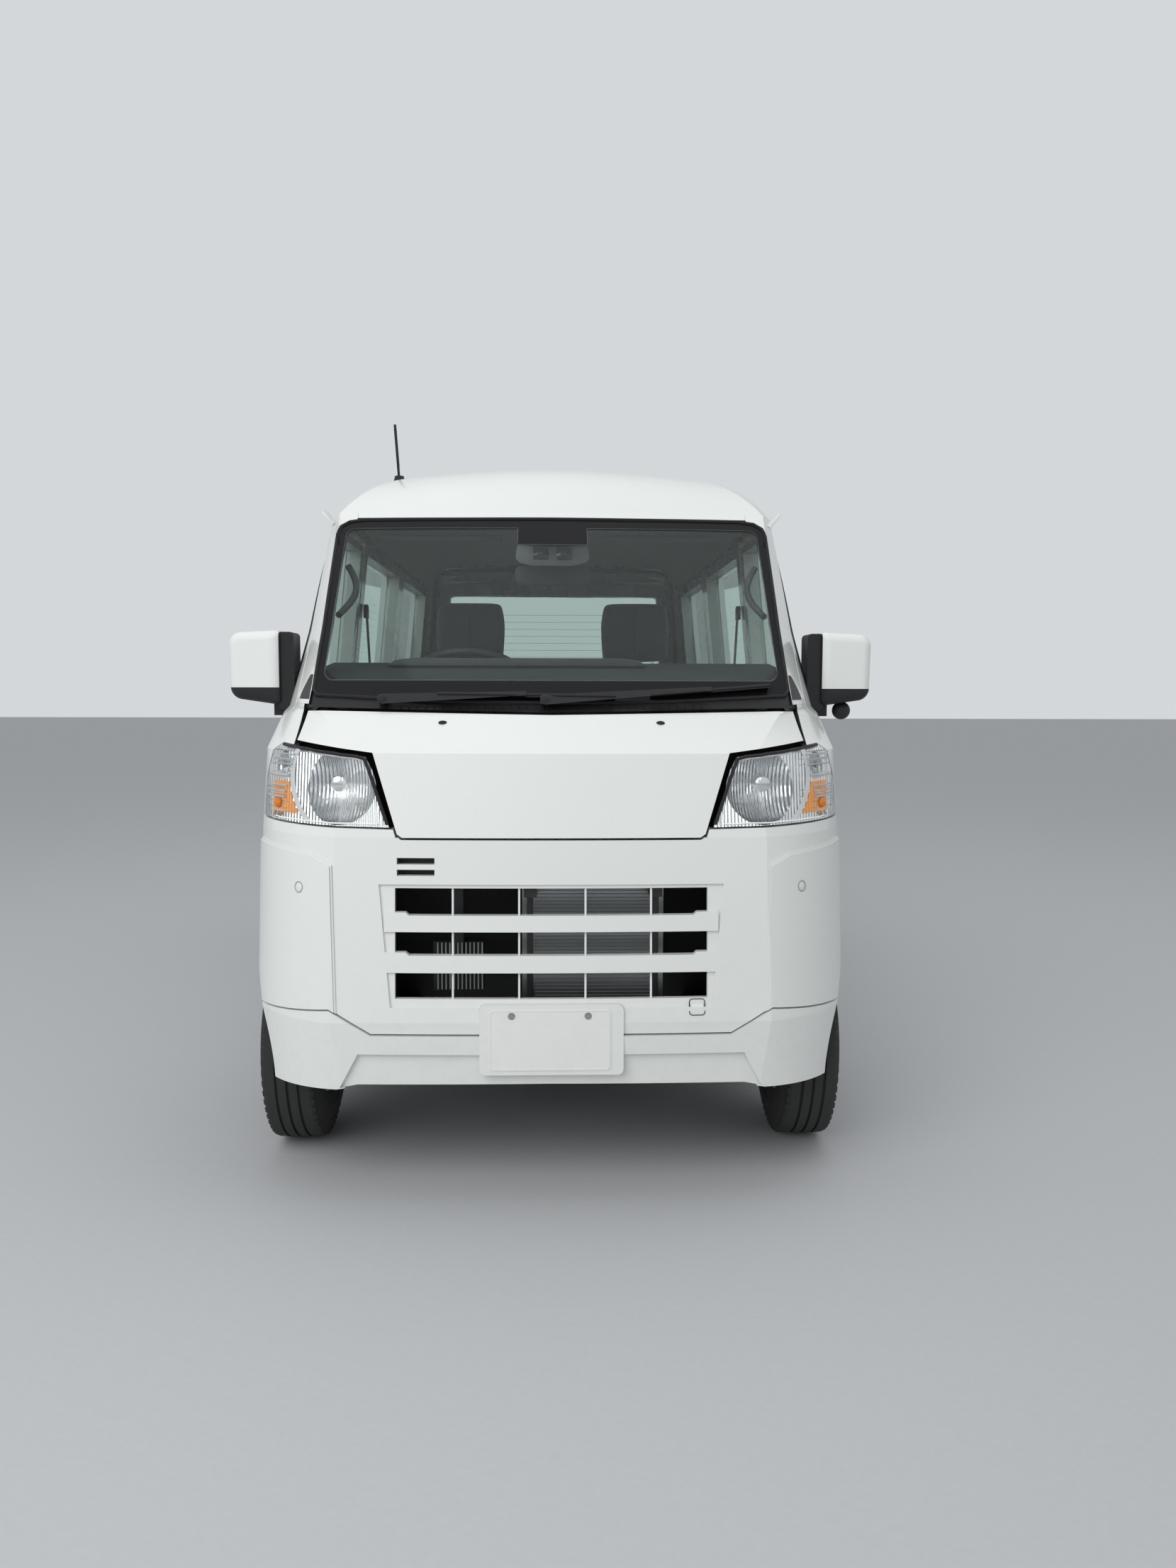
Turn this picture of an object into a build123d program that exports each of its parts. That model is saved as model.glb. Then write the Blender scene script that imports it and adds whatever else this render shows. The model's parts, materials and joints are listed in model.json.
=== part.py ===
from build123d import *
import math
import os

os.makedirs("parts", exist_ok=True)

# A high-roofed, four-wheel-drive kei cargo van with right-hand drive, in millimetres.
# While it is modelled, Y runs from the nose (0) to the tail, X to the vehicle's left, Z up.
# save() moves every piece so that the origin lies on the floor under the middle of the van.

# Overall sizes
LENGTH = 3395.0
HALF_WIDTH = 737.5
HEIGHT = 1890.0
WALL = 50.0
ROOF_WALL = 34.0
SEAT_GAP = 0.3
PANEL_GAP = 4.0
DOOR_GAP = 6.5
BONNET_GAP = 5.5
BONNET_SKIN = 6.0
BONNET_FRAME = 18.0

# Heights of the body's main lines
SILL_Z = 240.0
SEAM_Z = 420.0
NOSE_EDGE_Z = 845.0
CREASE_Z = 1037.0
COWL_Z = 1124.0
GLASS_FOOT_Z = 1148.0
BELT_Z = 1085.0
WINDOW_TOP_Z = 1628.0
DOOR_TOP_Z = 1662.0
GLASS_TOP_Z = 1674.0
GUTTER_Z = 1690.0

# Wheels and track
WHEELBASE = 2450.0
FRONT_AXLE_Y = 460.0
REAR_AXLE_Y = FRONT_AXLE_Y + WHEELBASE
FRONT_WHEEL_X = 652.5
REAR_WHEEL_X = 650.0
TYRE_R = 268.0
TYRE_W = 145.0
BEAD_R = 153.0
FLANGE_R = 166.0
RIM_W = 118.0
HUB_BORE_R = 28.0
ARCH_R = 318.0
ARCH_LIP = 48.0
HOUSE_R = 345.0
HOUSE_T = 8.0

# Floors
FOOT_FLOOR_Z = 405.0
LOAD_FLOOR_Z = 650.0
FLOOR_T = 25.0
SEAT_BOX_Y = 955.0
TOE_Y = 330.0

# Side view: door edges behind the nose
DOOR_FRONT_Y = 425.0
DOOR_REAR_Y = 1330.0
DOOR_FOOT_Z = 312.0
SLIDER_REAR_Y = 2292.0
SEAT_X = 285.0
HINGE_X = 733.0
HINGE_Y = DOOR_FRONT_Y + 6
HINGE_PIN_R = 2.4
HINGE_EYE_R = 4.4
HINGE_SWEEP_R = 9.0
DOOR_HINGES = [(680, 710), (1000, 1030)]

# Plan sections of the body, from the sill to the gutter. front_y: nose line at the middle,
# sag: how far its ends lie behind that, front_x: half width of the nose line, side_in: how far
# the flank lies inside HALF_WIDTH, side_y: where the flank starts, tail_in: tail line inside
# LENGTH, slope: horizontal depth of a wall for each millimetre of its thickness.
BODY_SECTIONS = [
    # z, front_y, sag, front_x, side_in, side_y, tail_in, slope
    (SILL_Z, 26, 14, 480, 24, 310, 45, 1.0),
    (SEAM_Z, 8, 16, 505, 2, 340, 27, 1.0),
    (NOSE_EDGE_Z, 36, 22, 500, 1, 404, 27, 1.0),
    (CREASE_Z, 74, 24, 480, 6, 442, 30, 1.0),
    (COWL_Z, 176, 70, 560, 9, 640, 34, 1.5),
    (GLASS_FOOT_Z - 8, 208, 84, 600, 10, 740, 35, 1.5),
    (GUTTER_Z - 340, 432, 65, 606, 33, 940, 57, 1.5),
    (GUTTER_Z, 796, 34, 614, 68, 1060, 92, 1.45),
]
# Plan sections of the roof above the gutter, in the same columns; a crowned top cuts them off
ROOF_SECTIONS = [
    BODY_SECTIONS[-1],
    (GUTTER_Z + 55, 842, 50, 572, 81, 1180, 95, 1.45),
    (GUTTER_Z + 110, 908, 80, 512, 104, 1330, 108, 1.4),
    (GUTTER_Z + 155, 1010, 125, 440, 140, 1500, 140, 1.3),
    (GUTTER_Z + 190, 1200, 170, 370, 205, 1700, 210, 1.2),
    (GUTTER_Z + 215, 1450, 200, 320, 290, 1900, 330, 1.0),
]
TAIL_CORNER_R = 110.0

SIDE = Plane(origin=(0, 0, 0), x_dir=(0, 1, 0), z_dir=(1, 0, 0))
FRONT = Plane(origin=(0, 0, 0), x_dir=(1, 0, 0), z_dir=(0, -1, 0))


def save(name, shape):
    """Write one node, moved to the finished part's origin."""
    export_step(Pos(0, -LENGTH / 2, 0) * shape, f"parts/{name}.step")


def face_of(points, radius=0):
    """A flat outline; radius is one number or a list with one for each corner."""
    if isinstance(radius, (int, float)) and radius == 0:
        return make_face(Polyline(*points, close=True))
    return make_face(FilletPolyline(*points, radius=radius, close=True))


def side_prism(points, x_low, x_high, radius=0, grow=0):
    """An outline in side view (y, z), run across from x_low to x_high."""
    face = face_of(points, radius)
    if grow:
        face = offset(face, amount=grow, kind=Kind.INTERSECTION)
    return extrude(SIDE.offset(x_low) * face, amount=x_high - x_low)


def front_prism(points, y_low, y_high, radius=0, grow=0):
    """An outline in front view (x, z), run back from y_low to y_high."""
    face = face_of(points, radius)
    if grow:
        face = offset(face, amount=grow, kind=Kind.INTERSECTION)
    return extrude(FRONT.offset(-y_high) * face, amount=y_high - y_low)


def mirrored(points):
    """A half outline that starts and ends on x = 0, closed on the other side."""
    return points + [(-x, z) for x, z in reversed(points) if x > 0]


def block(x_low, x_high, y_low, y_high, z_low, z_high):
    """A plain box between named limits."""
    box = Box(x_high - x_low, y_high - y_low, z_high - z_low)
    return Pos((x_low + x_high) / 2, (y_low + y_high) / 2, (z_low + z_high) / 2) * box


def rod(start, end, radius, inner=0):
    """A round bar or tube between two points."""
    run = Vector(end) - Vector(start)
    plane = Plane(origin=Vector(start), z_dir=run)
    ring = Circle(radius)
    if inner:
        ring = ring - Circle(inner)
    return extrude(plane * ring, amount=run.length)


def both_sides(shape):
    """The left piece and its mirror image."""
    return [shape, mirror(shape, about=Plane.YZ)]


def plan_section(row, inset):
    """One closed plan section of the body, drawn inset inside its skin."""
    z, front_y, sag, front_x, side_in, side_y, tail_in, slope = row
    half = HALF_WIDTH - side_in - inset
    nose = front_y + inset * slope
    end_x = front_x - inset * 0.7
    end_y = nose + sag
    tail = LENGTH - tail_in - inset
    tail_r = TAIL_CORNER_R - inset * 0.8
    reach = half - end_x
    depth = side_y - end_y
    corner_r = (reach ** 2 + depth ** 2) / (2 * reach)
    turn = math.asin(min(1.0, depth / corner_r)) / 2
    corner = (half - corner_r + corner_r * math.cos(turn), side_y - corner_r * math.sin(turn))
    tail_mid = tail_r * math.sqrt(0.5)
    back = (half - tail_r + tail_mid, tail - tail_r + tail_mid)
    edges = [
        ThreePointArc((-end_x, end_y), (0, nose), (end_x, end_y)),
        ThreePointArc((end_x, end_y), corner, (half, side_y)),
        Line((half, side_y), (half, tail - tail_r)),
        ThreePointArc((half, tail - tail_r), back, (half - tail_r, tail)),
        Line((half - tail_r, tail), (-half + tail_r, tail)),
        ThreePointArc((-half + tail_r, tail), (-back[0], back[1]), (-half, tail - tail_r)),
        Line((-half, tail - tail_r), (-half, side_y)),
        ThreePointArc((-half, side_y), (-corner[0], corner[1]), (-end_x, end_y)),
    ]
    return Pos(0, 0, z) * make_face(edges)


def row_beyond(end, neighbour, reach):
    """The section that continues the line from a neighbour through an end row."""
    share = reach / abs(end[0] - neighbour[0])
    return tuple(a + (a - b) * share for a, b in zip(end, neighbour))


def body_form(inset, overrun=0):
    """The body below the gutter as one solid, inset inside the skin and run on past its ends."""
    rows = list(BODY_SECTIONS)
    if overrun:
        rows[0] = row_beyond(rows[0], rows[1], overrun)
        rows[-1] = row_beyond(rows[-1], rows[-2], overrun)
    return loft([plan_section(row, inset) for row in rows], ruled=True)


def roof_form(inset):
    """The high roof above the gutter as one solid, inset inside the skin."""
    dome = loft([plan_section(row, inset) for row in ROOF_SECTIONS])
    top = HEIGHT - inset
    half = HALF_WIDTH + 20
    cross = make_face([
        Line((-half, GUTTER_Z), (half, GUTTER_Z)),
        Line((half, GUTTER_Z), (half, top - 40)),
        ThreePointArc((half, top - 40), (0, top), (-half, top - 40)),
        Line((-half, top - 40), (-half, GUTTER_Z)),
    ])
    side = make_face([
        Line((0, GUTTER_Z), (0, top - 130)),
        ThreePointArc((0, top - 130), (1850, top + 0.5), (LENGTH, top - 90)),
        Line((LENGTH, top - 90), (LENGTH, GUTTER_Z)),
        Line((LENGTH, GUTTER_Z), (0, GUTTER_Z)),
    ])
    across_crown = extrude(FRONT.offset(-LENGTH) * cross, amount=LENGTH)
    along_crown = extrude(SIDE.offset(-half) * side, amount=2 * half)
    return dome & across_crown & along_crown


# The whole skin as thick as its walls, the glass layers inside it, and the room it encloses
BODY_OUTER = body_form(0)
BODY_INNER = body_form(WALL, overrun=20)
BODY_ROOM = body_form(WALL + SEAT_GAP, overrun=0)
SHELL = BODY_OUTER - BODY_INNER
SCREEN_LAYER = BODY_OUTER & body_form(4, overrun=20) - body_form(9, overrun=20)
SIDE_GLASS_LAYER = body_form(9, overrun=0) - body_form(14, overrun=20)
ROOF_OUTER = roof_form(0)
ROOF_SHELL = ROOF_OUTER - (Pos(0, 0, -0.01) * roof_form(ROOF_WALL))

# Outlines in front view, half of each, from the middle outwards
BONNET_OUTLINE = mirrored([
    (0, NOSE_EDGE_Z),
    (344, NOSE_EDGE_Z),
    (356, NOSE_EDGE_Z + 8),
    (416, 1038),
    (616, 1062),
    (606, COWL_Z + 7),
    (560, COWL_Z + 8),
    (0, COWL_Z),
])
LAMP_OUTLINE = [(374, 868), (432, 1028), (681, 1054), (HALF_WIDTH + 20, 1054), (HALF_WIDTH + 20, 876)]
LAMP_REAR = [(-60, 850), (288, 850), (300, 960), (240, 1080), (-60, 1080)]
FACE_OUTLINE = mirrored([
    (0, 393),
    (417, 393),
    (513, 451),
    (HALF_WIDTH + 20, 425),
    (HALF_WIDTH + 20, 872),
    (360, 863),
    (360, NOSE_EDGE_Z),
    (0, NOSE_EDGE_Z),
])
SKIRT_OUTLINE = mirrored([
    (0, 271),
    (452, 268),
    (500, 258),
    (HALF_WIDTH + 20, 252),
    (HALF_WIDTH + 20, 421),
    (513, 447),
    (417, 389),
    (0, 389),
])
FACE_REAR = [(-60, 200), (236, 200), (240, 500), (284, 880), (-60, 880)]
SCREEN_OUTLINE = mirrored([
    (0, GLASS_FOOT_Z),
    (300, GLASS_FOOT_Z + 4),
    (592, GLASS_FOOT_Z + 18),
    (604, GLASS_FOOT_Z + 32),
    (606, 1350),
    (616, GLASS_TOP_Z - 50),
    (608, GLASS_TOP_Z - 24),
    (584, GLASS_TOP_Z - 8),
    (540, GLASS_TOP_Z - 2),
    (0, GLASS_TOP_Z),
])

# Outlines in side view (y, z)
DOOR_ARC_R = ARCH_R + ARCH_LIP + DOOR_GAP


def arc_z(y, radius):
    """Height of a circle about the front wheel's centre, above the sill."""
    return TYRE_R + math.sqrt(radius ** 2 - (y - FRONT_AXLE_Y) ** 2)


def arc_y(z, radius):
    """Rear crossing of a circle about the front wheel's centre at height z."""
    return FRONT_AXLE_Y + math.sqrt(radius ** 2 - (z - TYRE_R) ** 2)


def door_face(inset):
    """Front door in side view, cut round the front arch's lip."""
    radius = DOOR_ARC_R + inset
    front = DOOR_FRONT_Y + inset
    rear = DOOR_REAR_Y - inset
    foot = DOOR_FOOT_Z + inset
    top = DOOR_TOP_Z - inset
    low = (arc_y(foot, radius), foot)
    high = (front, arc_z(front, radius))
    middle_turn = math.radians(42)
    middle = (FRONT_AXLE_Y + radius * math.cos(middle_turn), TYRE_R + radius * math.sin(middle_turn))
    points = [low, (rear, foot), (rear, top), (958 + inset, top), (462 + inset, 1188 - inset), (front, 1150 - inset)]
    edges = [ThreePointArc(high, middle, low)]
    edges += [Line(points[i], points[i + 1]) for i in range(len(points) - 1)]
    edges.append(Line(points[-1], high))
    return make_face(edges)


def across(face, x_low, x_high):
    """A side-view face run across from x_low to x_high."""
    return extrude(SIDE.offset(x_low) * face, amount=x_high - x_low)


DOOR_WINDOW = [
    (590, BELT_Z + 12),
    (1272, BELT_Z),
    (1272, WINDOW_TOP_Z),
    (1012, WINDOW_TOP_Z),
    (615, 1240),
    (590, 1180),
]
SLIDER_FRONT_Y = DOOR_REAR_Y + 10
SLIDER_OUTLINE = [
    (SLIDER_FRONT_Y, DOOR_FOOT_Z),
    (SLIDER_REAR_Y, DOOR_FOOT_Z),
    (SLIDER_REAR_Y, DOOR_TOP_Z),
    (SLIDER_FRONT_Y, DOOR_TOP_Z),
]
SLIDER_WINDOW = [
    (SLIDER_FRONT_Y + 70, BELT_Z),
    (SLIDER_REAR_Y - 70, BELT_Z),
    (SLIDER_REAR_Y - 70, WINDOW_TOP_Z),
    (SLIDER_FRONT_Y + 70, WINDOW_TOP_Z),
]
QUARTER_WINDOW = [
    (SLIDER_REAR_Y + 80, BELT_Z),
    (LENGTH - 180, BELT_Z),
    (LENGTH - 210, WINDOW_TOP_Z),
    (SLIDER_REAR_Y + 80, WINDOW_TOP_Z),
]

# Outlines in rear view (x, z)
GATE_FOOT_Z = 560.0
GATE_TOP_Z = 1762.0
TAILGATE_OUTLINE = mirrored([
    (0, GATE_FOOT_Z),
    (612, GATE_FOOT_Z),
    (624, 1090),
    (572, GATE_TOP_Z - 40),
    (540, GATE_TOP_Z),
    (0, GATE_TOP_Z),
])
GATE_WINDOW = mirrored([
    (0, BELT_Z + 15),
    (545, BELT_Z + 15),
    (510, 1632),
    (0, 1640),
])
TAIL_LAMP_OUTLINE = [(648, 600), (HALF_WIDTH + 20, 600), (HALF_WIDTH + 20, 930), (648, 930)]
GATE_Y = LENGTH - 150
TAIL_LAMP_Y = LENGTH - 107
COWL_OUTLINE = mirrored([
    (0, COWL_Z + BONNET_GAP),
    (606, COWL_Z + 11 + BONNET_GAP),
    (604, GLASS_FOOT_Z + 31.6),
    (592, GLASS_FOOT_Z + 17.6),
    (300, GLASS_FOOT_Z + 3.6),
    (0, GLASS_FOOT_Z - 0.4),
])

WHEEL_CUTS = []
for axle_y in (FRONT_AXLE_Y, REAR_AXLE_Y):
    WHEEL_CUTS.append(rod((-900, axle_y, TYRE_R), (900, axle_y, TYRE_R), ARCH_R))

left_half = block(0, 900, -100, LENGTH + 100, 0, 2200)


def cut_all(shape, cutters):
    """A shape less each cutter in turn."""
    for cutter in cutters:
        shape = shape - cutter
    return shape


# Nose panels
bonnet_hole = front_prism(BONNET_OUTLINE, -60, 500, grow=BONNET_GAP)
bonnet_core = body_form(BONNET_SKIN, overrun=20)
bonnet = (BODY_OUTER - bonnet_core) & front_prism(BONNET_OUTLINE, -60, 400)
bonnet_rim = front_prism(BONNET_OUTLINE, -60, 400, grow=-30) - front_prism(BONNET_OUTLINE, -60, 400, grow=-74)
bonnet = bonnet + ((bonnet_core - body_form(BONNET_FRAME, overrun=20)) & bonnet_rim)
face_zone = front_prism(FACE_OUTLINE, -60, 300) & side_prism(FACE_REAR, -900, 900)
bumper_face = cut_all(SHELL & face_zone, [bonnet_hole, WHEEL_CUTS[0]])

# Raised corner panels of the bumper, in two low steps
CORNER_PANEL = [(512, 778), (560, 800), (HALF_WIDTH + 20, 818), (HALF_WIDTH + 20, 400), (500, 400)]
for rise, grow in ((3.5, 5), (7, 0)):
    pad = (body_form(-rise) - BODY_INNER) & front_prism(CORNER_PANEL, -60, 300, grow=grow)
    pad = pad & side_prism(FACE_REAR, 0, 900) & front_prism(FACE_OUTLINE, -60, 300)
    for one_pad in both_sides(pad - WHEEL_CUTS[0]):
        bumper_face = bumper_face + one_pad

# Grille: a shallow recess, three rows of openings with a thin wall, two proud bars, four dividers
GRILLE_X = 361.0
GRILLE_RECESS = 6.0
GRILLE_WALL = 15.0
BAR_END_X = 386.0
BAR_STEP_X = 328.0
GRILLE_ROWS = [
    # low z, high z
    (474, 539),
    (575, 633),
    (667, 729),
]
VENT_SLOTS = [
    # low z, high z of the two slots beside the grille, on the driver's side
    (758, 772),
    (784, 799),
]
grille_outline = [(-398, 738), (398, 738), (372, 454), (-372, 454)]
grille_pocket = front_prism([(-372, 742), (372, 742), (366, 462), (-366, 462)], -60, 300)
vent_pocket = front_prism([(-360, 803), (-260, 803), (-260, 700), (-360, 700)], -60, 300)
bumper_face = bumper_face - (front_prism(grille_outline, -60, 300) - body_form(GRILLE_RECESS, overrun=20))
bumper_face = bumper_face - ((grille_pocket + vent_pocket) & body_form(GRILLE_RECESS + GRILLE_WALL))
for low, high in GRILLE_ROWS:
    bumper_face = bumper_face - block(-GRILLE_X, GRILLE_X, -60, 300, low, high)
for low, high in VENT_SLOTS:
    bumper_face = bumper_face - block(-356, -269, -60, 300, low, high)
bar_layer = body_form(0) - body_form(GRILLE_RECESS + 12, overrun=20)
for index in range(len(GRILLE_ROWS) - 1):
    low, high = GRILLE_ROWS[index][1], GRILLE_ROWS[index + 1][0]
    bar_outline = [
        (-BAR_END_X, low - 4), (BAR_END_X, low - 4), (BAR_END_X, high + 7), (BAR_STEP_X + 8, high + 7),
        (BAR_STEP_X, high), (-BAR_STEP_X, high), (-BAR_STEP_X - 8, high + 7), (-BAR_END_X, high + 7),
    ]
    bumper_face = bumper_face + (bar_layer & front_prism(bar_outline, -60, 300))
divider_layer = body_form(GRILLE_RECESS + 4) - body_form(GRILLE_RECESS + 18, overrun=20)
for divider_x in (-228, -75, 78, 230):
    divider = block(divider_x - 2.2, divider_x + 2.2, -60, 300, GRILLE_ROWS[0][0] - 3, GRILLE_ROWS[-1][1] + 3)
    bumper_face = bumper_face + (divider_layer & divider)

# Skirt below the seam, proud of the face, with its recess and the number plate's seat
SKIRT_RISE = 7.0
PLATE_SEAT = [(-166, 299), (166, 299), (166, 463), (-166, 463)]
PLATE_SEAT_Y = 4.0
plate_seat = front_prism(PLATE_SEAT, PLATE_SEAT_Y, 40, radius=14)
skirt_zone = front_prism(SKIRT_OUTLINE, -60, 300) & side_prism(FACE_REAR, -900, 900)
bumper_skirt = cut_all((body_form(-SKIRT_RISE) - BODY_INNER) & skirt_zone, WHEEL_CUTS[:1])
skirt_recess = front_prism([(-492, 262), (492, 262), (448, 345), (-448, 345)], -60, 300)
bumper_skirt = bumper_skirt - (skirt_recess - body_form(4, overrun=20))
bumper_skirt = bumper_skirt - front_prism(PLATE_SEAT, -20, PLATE_SEAT_Y, radius=14) + plate_seat
bumper_face = bumper_face - front_prism(PLATE_SEAT, -20, 100, radius=14, grow=SEAT_GAP)
lamp_zone = front_prism(LAMP_OUTLINE, -60, 320) & side_prism(LAMP_REAR, 0, 900)
LENS_T = 5.0
lens_layer = BODY_OUTER - body_form(LENS_T, overrun=20)
LAMP_BACK_Y = 188.0
BOWL_X = 497.0
BOWL_Z = 964.0
BOWL_R = 92.0
lamp_room = body_form(LENS_T + SEAT_GAP, overrun=0)
lens = lens_layer & lamp_zone
lamp = (lamp_room - BODY_INNER) & lamp_zone
lamp = lamp + (lamp_room & lamp_zone & block(360, 612, -60, LAMP_BACK_Y, 850, 1060))
bowl_side = make_face([
    Line((0, -40), (0, LAMP_BACK_Y - 10)),
    Line((0, LAMP_BACK_Y - 10), (18, LAMP_BACK_Y - 10)),
    ThreePointArc((18, LAMP_BACK_Y - 10), (70, 136), (BOWL_R, 50)),
    Line((BOWL_R, 50), (BOWL_R, -40)),
    Line((BOWL_R, -40), (0, -40)),
])
bowl = Pos(BOWL_X, 0, BOWL_Z) * revolve(bowl_side, axis=Axis.Y)
lamp = lamp - bowl
SMALL_BOWLS = [
    # x, y, z, radius of the turn signal's and the position lamp's hollows
    (655, 196, 912, 36),
    (642, 205, 1004, 32),
]
for bowl_x, bowl_y, bowl_z, bowl_r in SMALL_BOWLS:
    lamp = lamp - Pos(bowl_x, bowl_y, bowl_z) * Sphere(bowl_r)
headlamp_lenses = both_sides(lens)
headlamps = both_sides(lamp)

# Front fenders with the arch lip that runs back under the door's cut-out
fender_zone = side_prism([
    (-60, 440),
    (DOOR_FRONT_Y - DOOR_GAP, 440),
    (DOOR_FRONT_Y - DOOR_GAP, GLASS_FOOT_Z),
    (-60, GLASS_FOOT_Z),
], 622, 900)
lip_zone = rod((622, FRONT_AXLE_Y, TYRE_R), (900, FRONT_AXLE_Y, TYRE_R), ARCH_R + ARCH_LIP)
lip_zone = lip_zone & block(622, 900, 230, 900, DOOR_FOOT_Z, 800)
fender = SHELL & (fender_zone + lip_zone)
fender = cut_all(fender, [
    bonnet_hole,
    front_prism(FACE_OUTLINE, -60, 300, grow=PANEL_GAP) & side_prism(FACE_REAR, 0, 900, grow=PANEL_GAP),
    front_prism(LAMP_OUTLINE, -60, 330, grow=PANEL_GAP) & side_prism(LAMP_REAR, 0, 900, grow=PANEL_GAP),
    WHEEL_CUTS[0],
])
for low, high in DOOR_HINGES:
    eye = rod((HINGE_X, HINGE_Y, low), (HINGE_X, HINGE_Y, high), HINGE_EYE_R)
    web = block(HINGE_X - 3, HINGE_X + 3, DOOR_FRONT_Y - DOOR_GAP - 4, HINGE_Y, low, high)
    pin_room = rod((HINGE_X, HINGE_Y, low - 1), (HINGE_X, HINGE_Y, high + 1), HINGE_PIN_R + SEAT_GAP)
    fender = fender + ((eye + web) - pin_room)
fenders = both_sides(fender)

# Glass
windshield = SCREEN_LAYER & front_prism(SCREEN_OUTLINE, 100, 1000, grow=-SEAT_GAP)
screen_hole = front_prism(SCREEN_OUTLINE, 100, 1000)
cowl_hole = front_prism(COWL_OUTLINE, 100, 1000, grow=2 * SEAT_GAP)

# Flanks: pillars, sills, rails and rear quarters
flank_zone = side_prism([
    (DOOR_FRONT_Y, SILL_Z - 5),
    (DOOR_FRONT_Y, GLASS_FOOT_Z + SEAT_GAP),
    (100, GLASS_FOOT_Z + SEAT_GAP),
    (100, GUTTER_Z),
    (LENGTH + 20, GUTTER_Z),
    (LENGTH + 20, SILL_Z - 5),
], 560, 900)
lip_cut = rod((500, FRONT_AXLE_Y, TYRE_R), (900, FRONT_AXLE_Y, TYRE_R), ARCH_R + ARCH_LIP + SEAT_GAP)
door_hole = across(offset(door_face(0), amount=DOOR_GAP, kind=Kind.INTERSECTION), 400, 900)
slider_hole = side_prism(SLIDER_OUTLINE, 400, 900, grow=PANEL_GAP)
quarter_hole = side_prism(QUARTER_WINDOW, 400, 900)
gate_hole = front_prism(TAILGATE_OUTLINE, GATE_Y, LENGTH + 60, grow=DOOR_GAP)
lamp_hole = front_prism(TAIL_LAMP_OUTLINE, TAIL_LAMP_Y - PANEL_GAP, LENGTH + 60, grow=PANEL_GAP)
flank = cut_all(SHELL & flank_zone, [
    screen_hole, cowl_hole, lip_cut, door_hole, slider_hole, quarter_hole, gate_hole, lamp_hole, WHEEL_CUTS[1],
])
body_sides = both_sides(flank)


# Rear quarters: groove of the sliding door's middle rail, and room for the bumper's ends
RAIL_Z = 1004.0
RAIL_SLOT = 14.0
BUMPER_TOP_Z = 548.0
BUMPER_FRONT_Y = REAR_AXLE_Y + 322
rail_slot = block(HALF_WIDTH - 24, 900, SLIDER_REAR_Y + 60, LENGTH - 245, RAIL_Z, RAIL_Z + RAIL_SLOT)
bumper_room = block(400, 900, REAR_AXLE_Y + ARCH_R - 6, LENGTH + 60, 0, BUMPER_TOP_Z + PANEL_GAP)
flank = cut_all(flank, [rail_slot, bumper_room])
body_sides = both_sides(flank)
tail_zone = front_prism(TAIL_LAMP_OUTLINE, TAIL_LAMP_Y, LENGTH + 60)
tail_lamps = both_sides(SHELL & tail_zone)

# Front doors: a skin over a narrower inner part, so that the rear edge swings clear
DOOR_SKIN = 16.0
DOOR_STEP = 12.0
door_core = body_form(DOOR_SKIN, overrun=20)
door_skin = (BODY_OUTER - door_core) & across(door_face(0), 400, 900)
door_inner = (door_core - BODY_INNER) & across(door_face(DOOR_STEP), 400, 900)
door = (door_skin + door_inner) - side_prism(DOOR_WINDOW, 400, 900)
for low, high in DOOR_HINGES:
    door = door - rod((HINGE_X, HINGE_Y, low - 2), (HINGE_X, HINGE_Y, high + 2), HINGE_SWEEP_R)
    door = door + rod((HINGE_X, HINGE_Y, low - 6), (HINGE_X, HINGE_Y, high + 6), HINGE_PIN_R)
door_glass = SIDE_GLASS_LAYER & side_prism(DOOR_WINDOW, 400, 900, grow=-SEAT_GAP)
doors = both_sides(door)
door_glasses = both_sides(door_glass)

# Sliding doors and the fixed glass of the flanks
slider = (SHELL & side_prism(SLIDER_OUTLINE, 400, 900)) - side_prism(SLIDER_WINDOW, 400, 900)
sliding_doors = both_sides(slider)
pane = SIDE_GLASS_LAYER & side_prism(SLIDER_WINDOW, 400, 900, grow=-SEAT_GAP)
quarter_pane = SIDE_GLASS_LAYER & side_prism(QUARTER_WINDOW, 400, 900, grow=-SEAT_GAP)
side_glass = both_sides(pane) + both_sides(quarter_pane)

# Tailgate and its glass
gate_zone = front_prism(TAILGATE_OUTLINE, GATE_Y, LENGTH + 60)
gate_window = front_prism(GATE_WINDOW, GATE_Y, LENGTH + 60)
tailgate = ((SHELL & gate_zone) + (ROOF_SHELL & gate_zone)) - gate_window
REAR_PLATE_SEAT = [(-168, 640), (168, 640), (168, 808), (-168, 808)]
tailgate = tailgate + front_prism(REAR_PLATE_SEAT, LENGTH - 50, LENGTH - 23, radius=10)
tailgate_glass = SIDE_GLASS_LAYER & front_prism(GATE_WINDOW, GATE_Y, LENGTH + 60, grow=-SEAT_GAP)

# Roof with the header above the windshield
HEADER_X = 559.5
header = SHELL & block(-HEADER_X, HEADER_X, 600, 1100, GLASS_TOP_Z + SEAT_GAP, GUTTER_Z)
roof = (ROOF_SHELL + header) - gate_hole
GUTTER_W = 12.0
gutter = block(0, 900, 960, LENGTH - 190, GUTTER_Z + 0.5, GUTTER_Z + 7)
gutter = gutter & (extrude(plan_section(BODY_SECTIONS[-1], -GUTTER_W), amount=40) - ROOF_OUTER)
gutter = gutter & block(500, 900, 960, LENGTH - 190, GUTTER_Z, GUTTER_Z + 7)
for strip in both_sides(gutter):
    roof = roof + strip

# Rear bumper: an open tray that wraps round the corners
BUMPER_T = 20.0
bumper_row = (255.0, 26, 14, 480, 1, 235, 0, 1.0)


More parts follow.
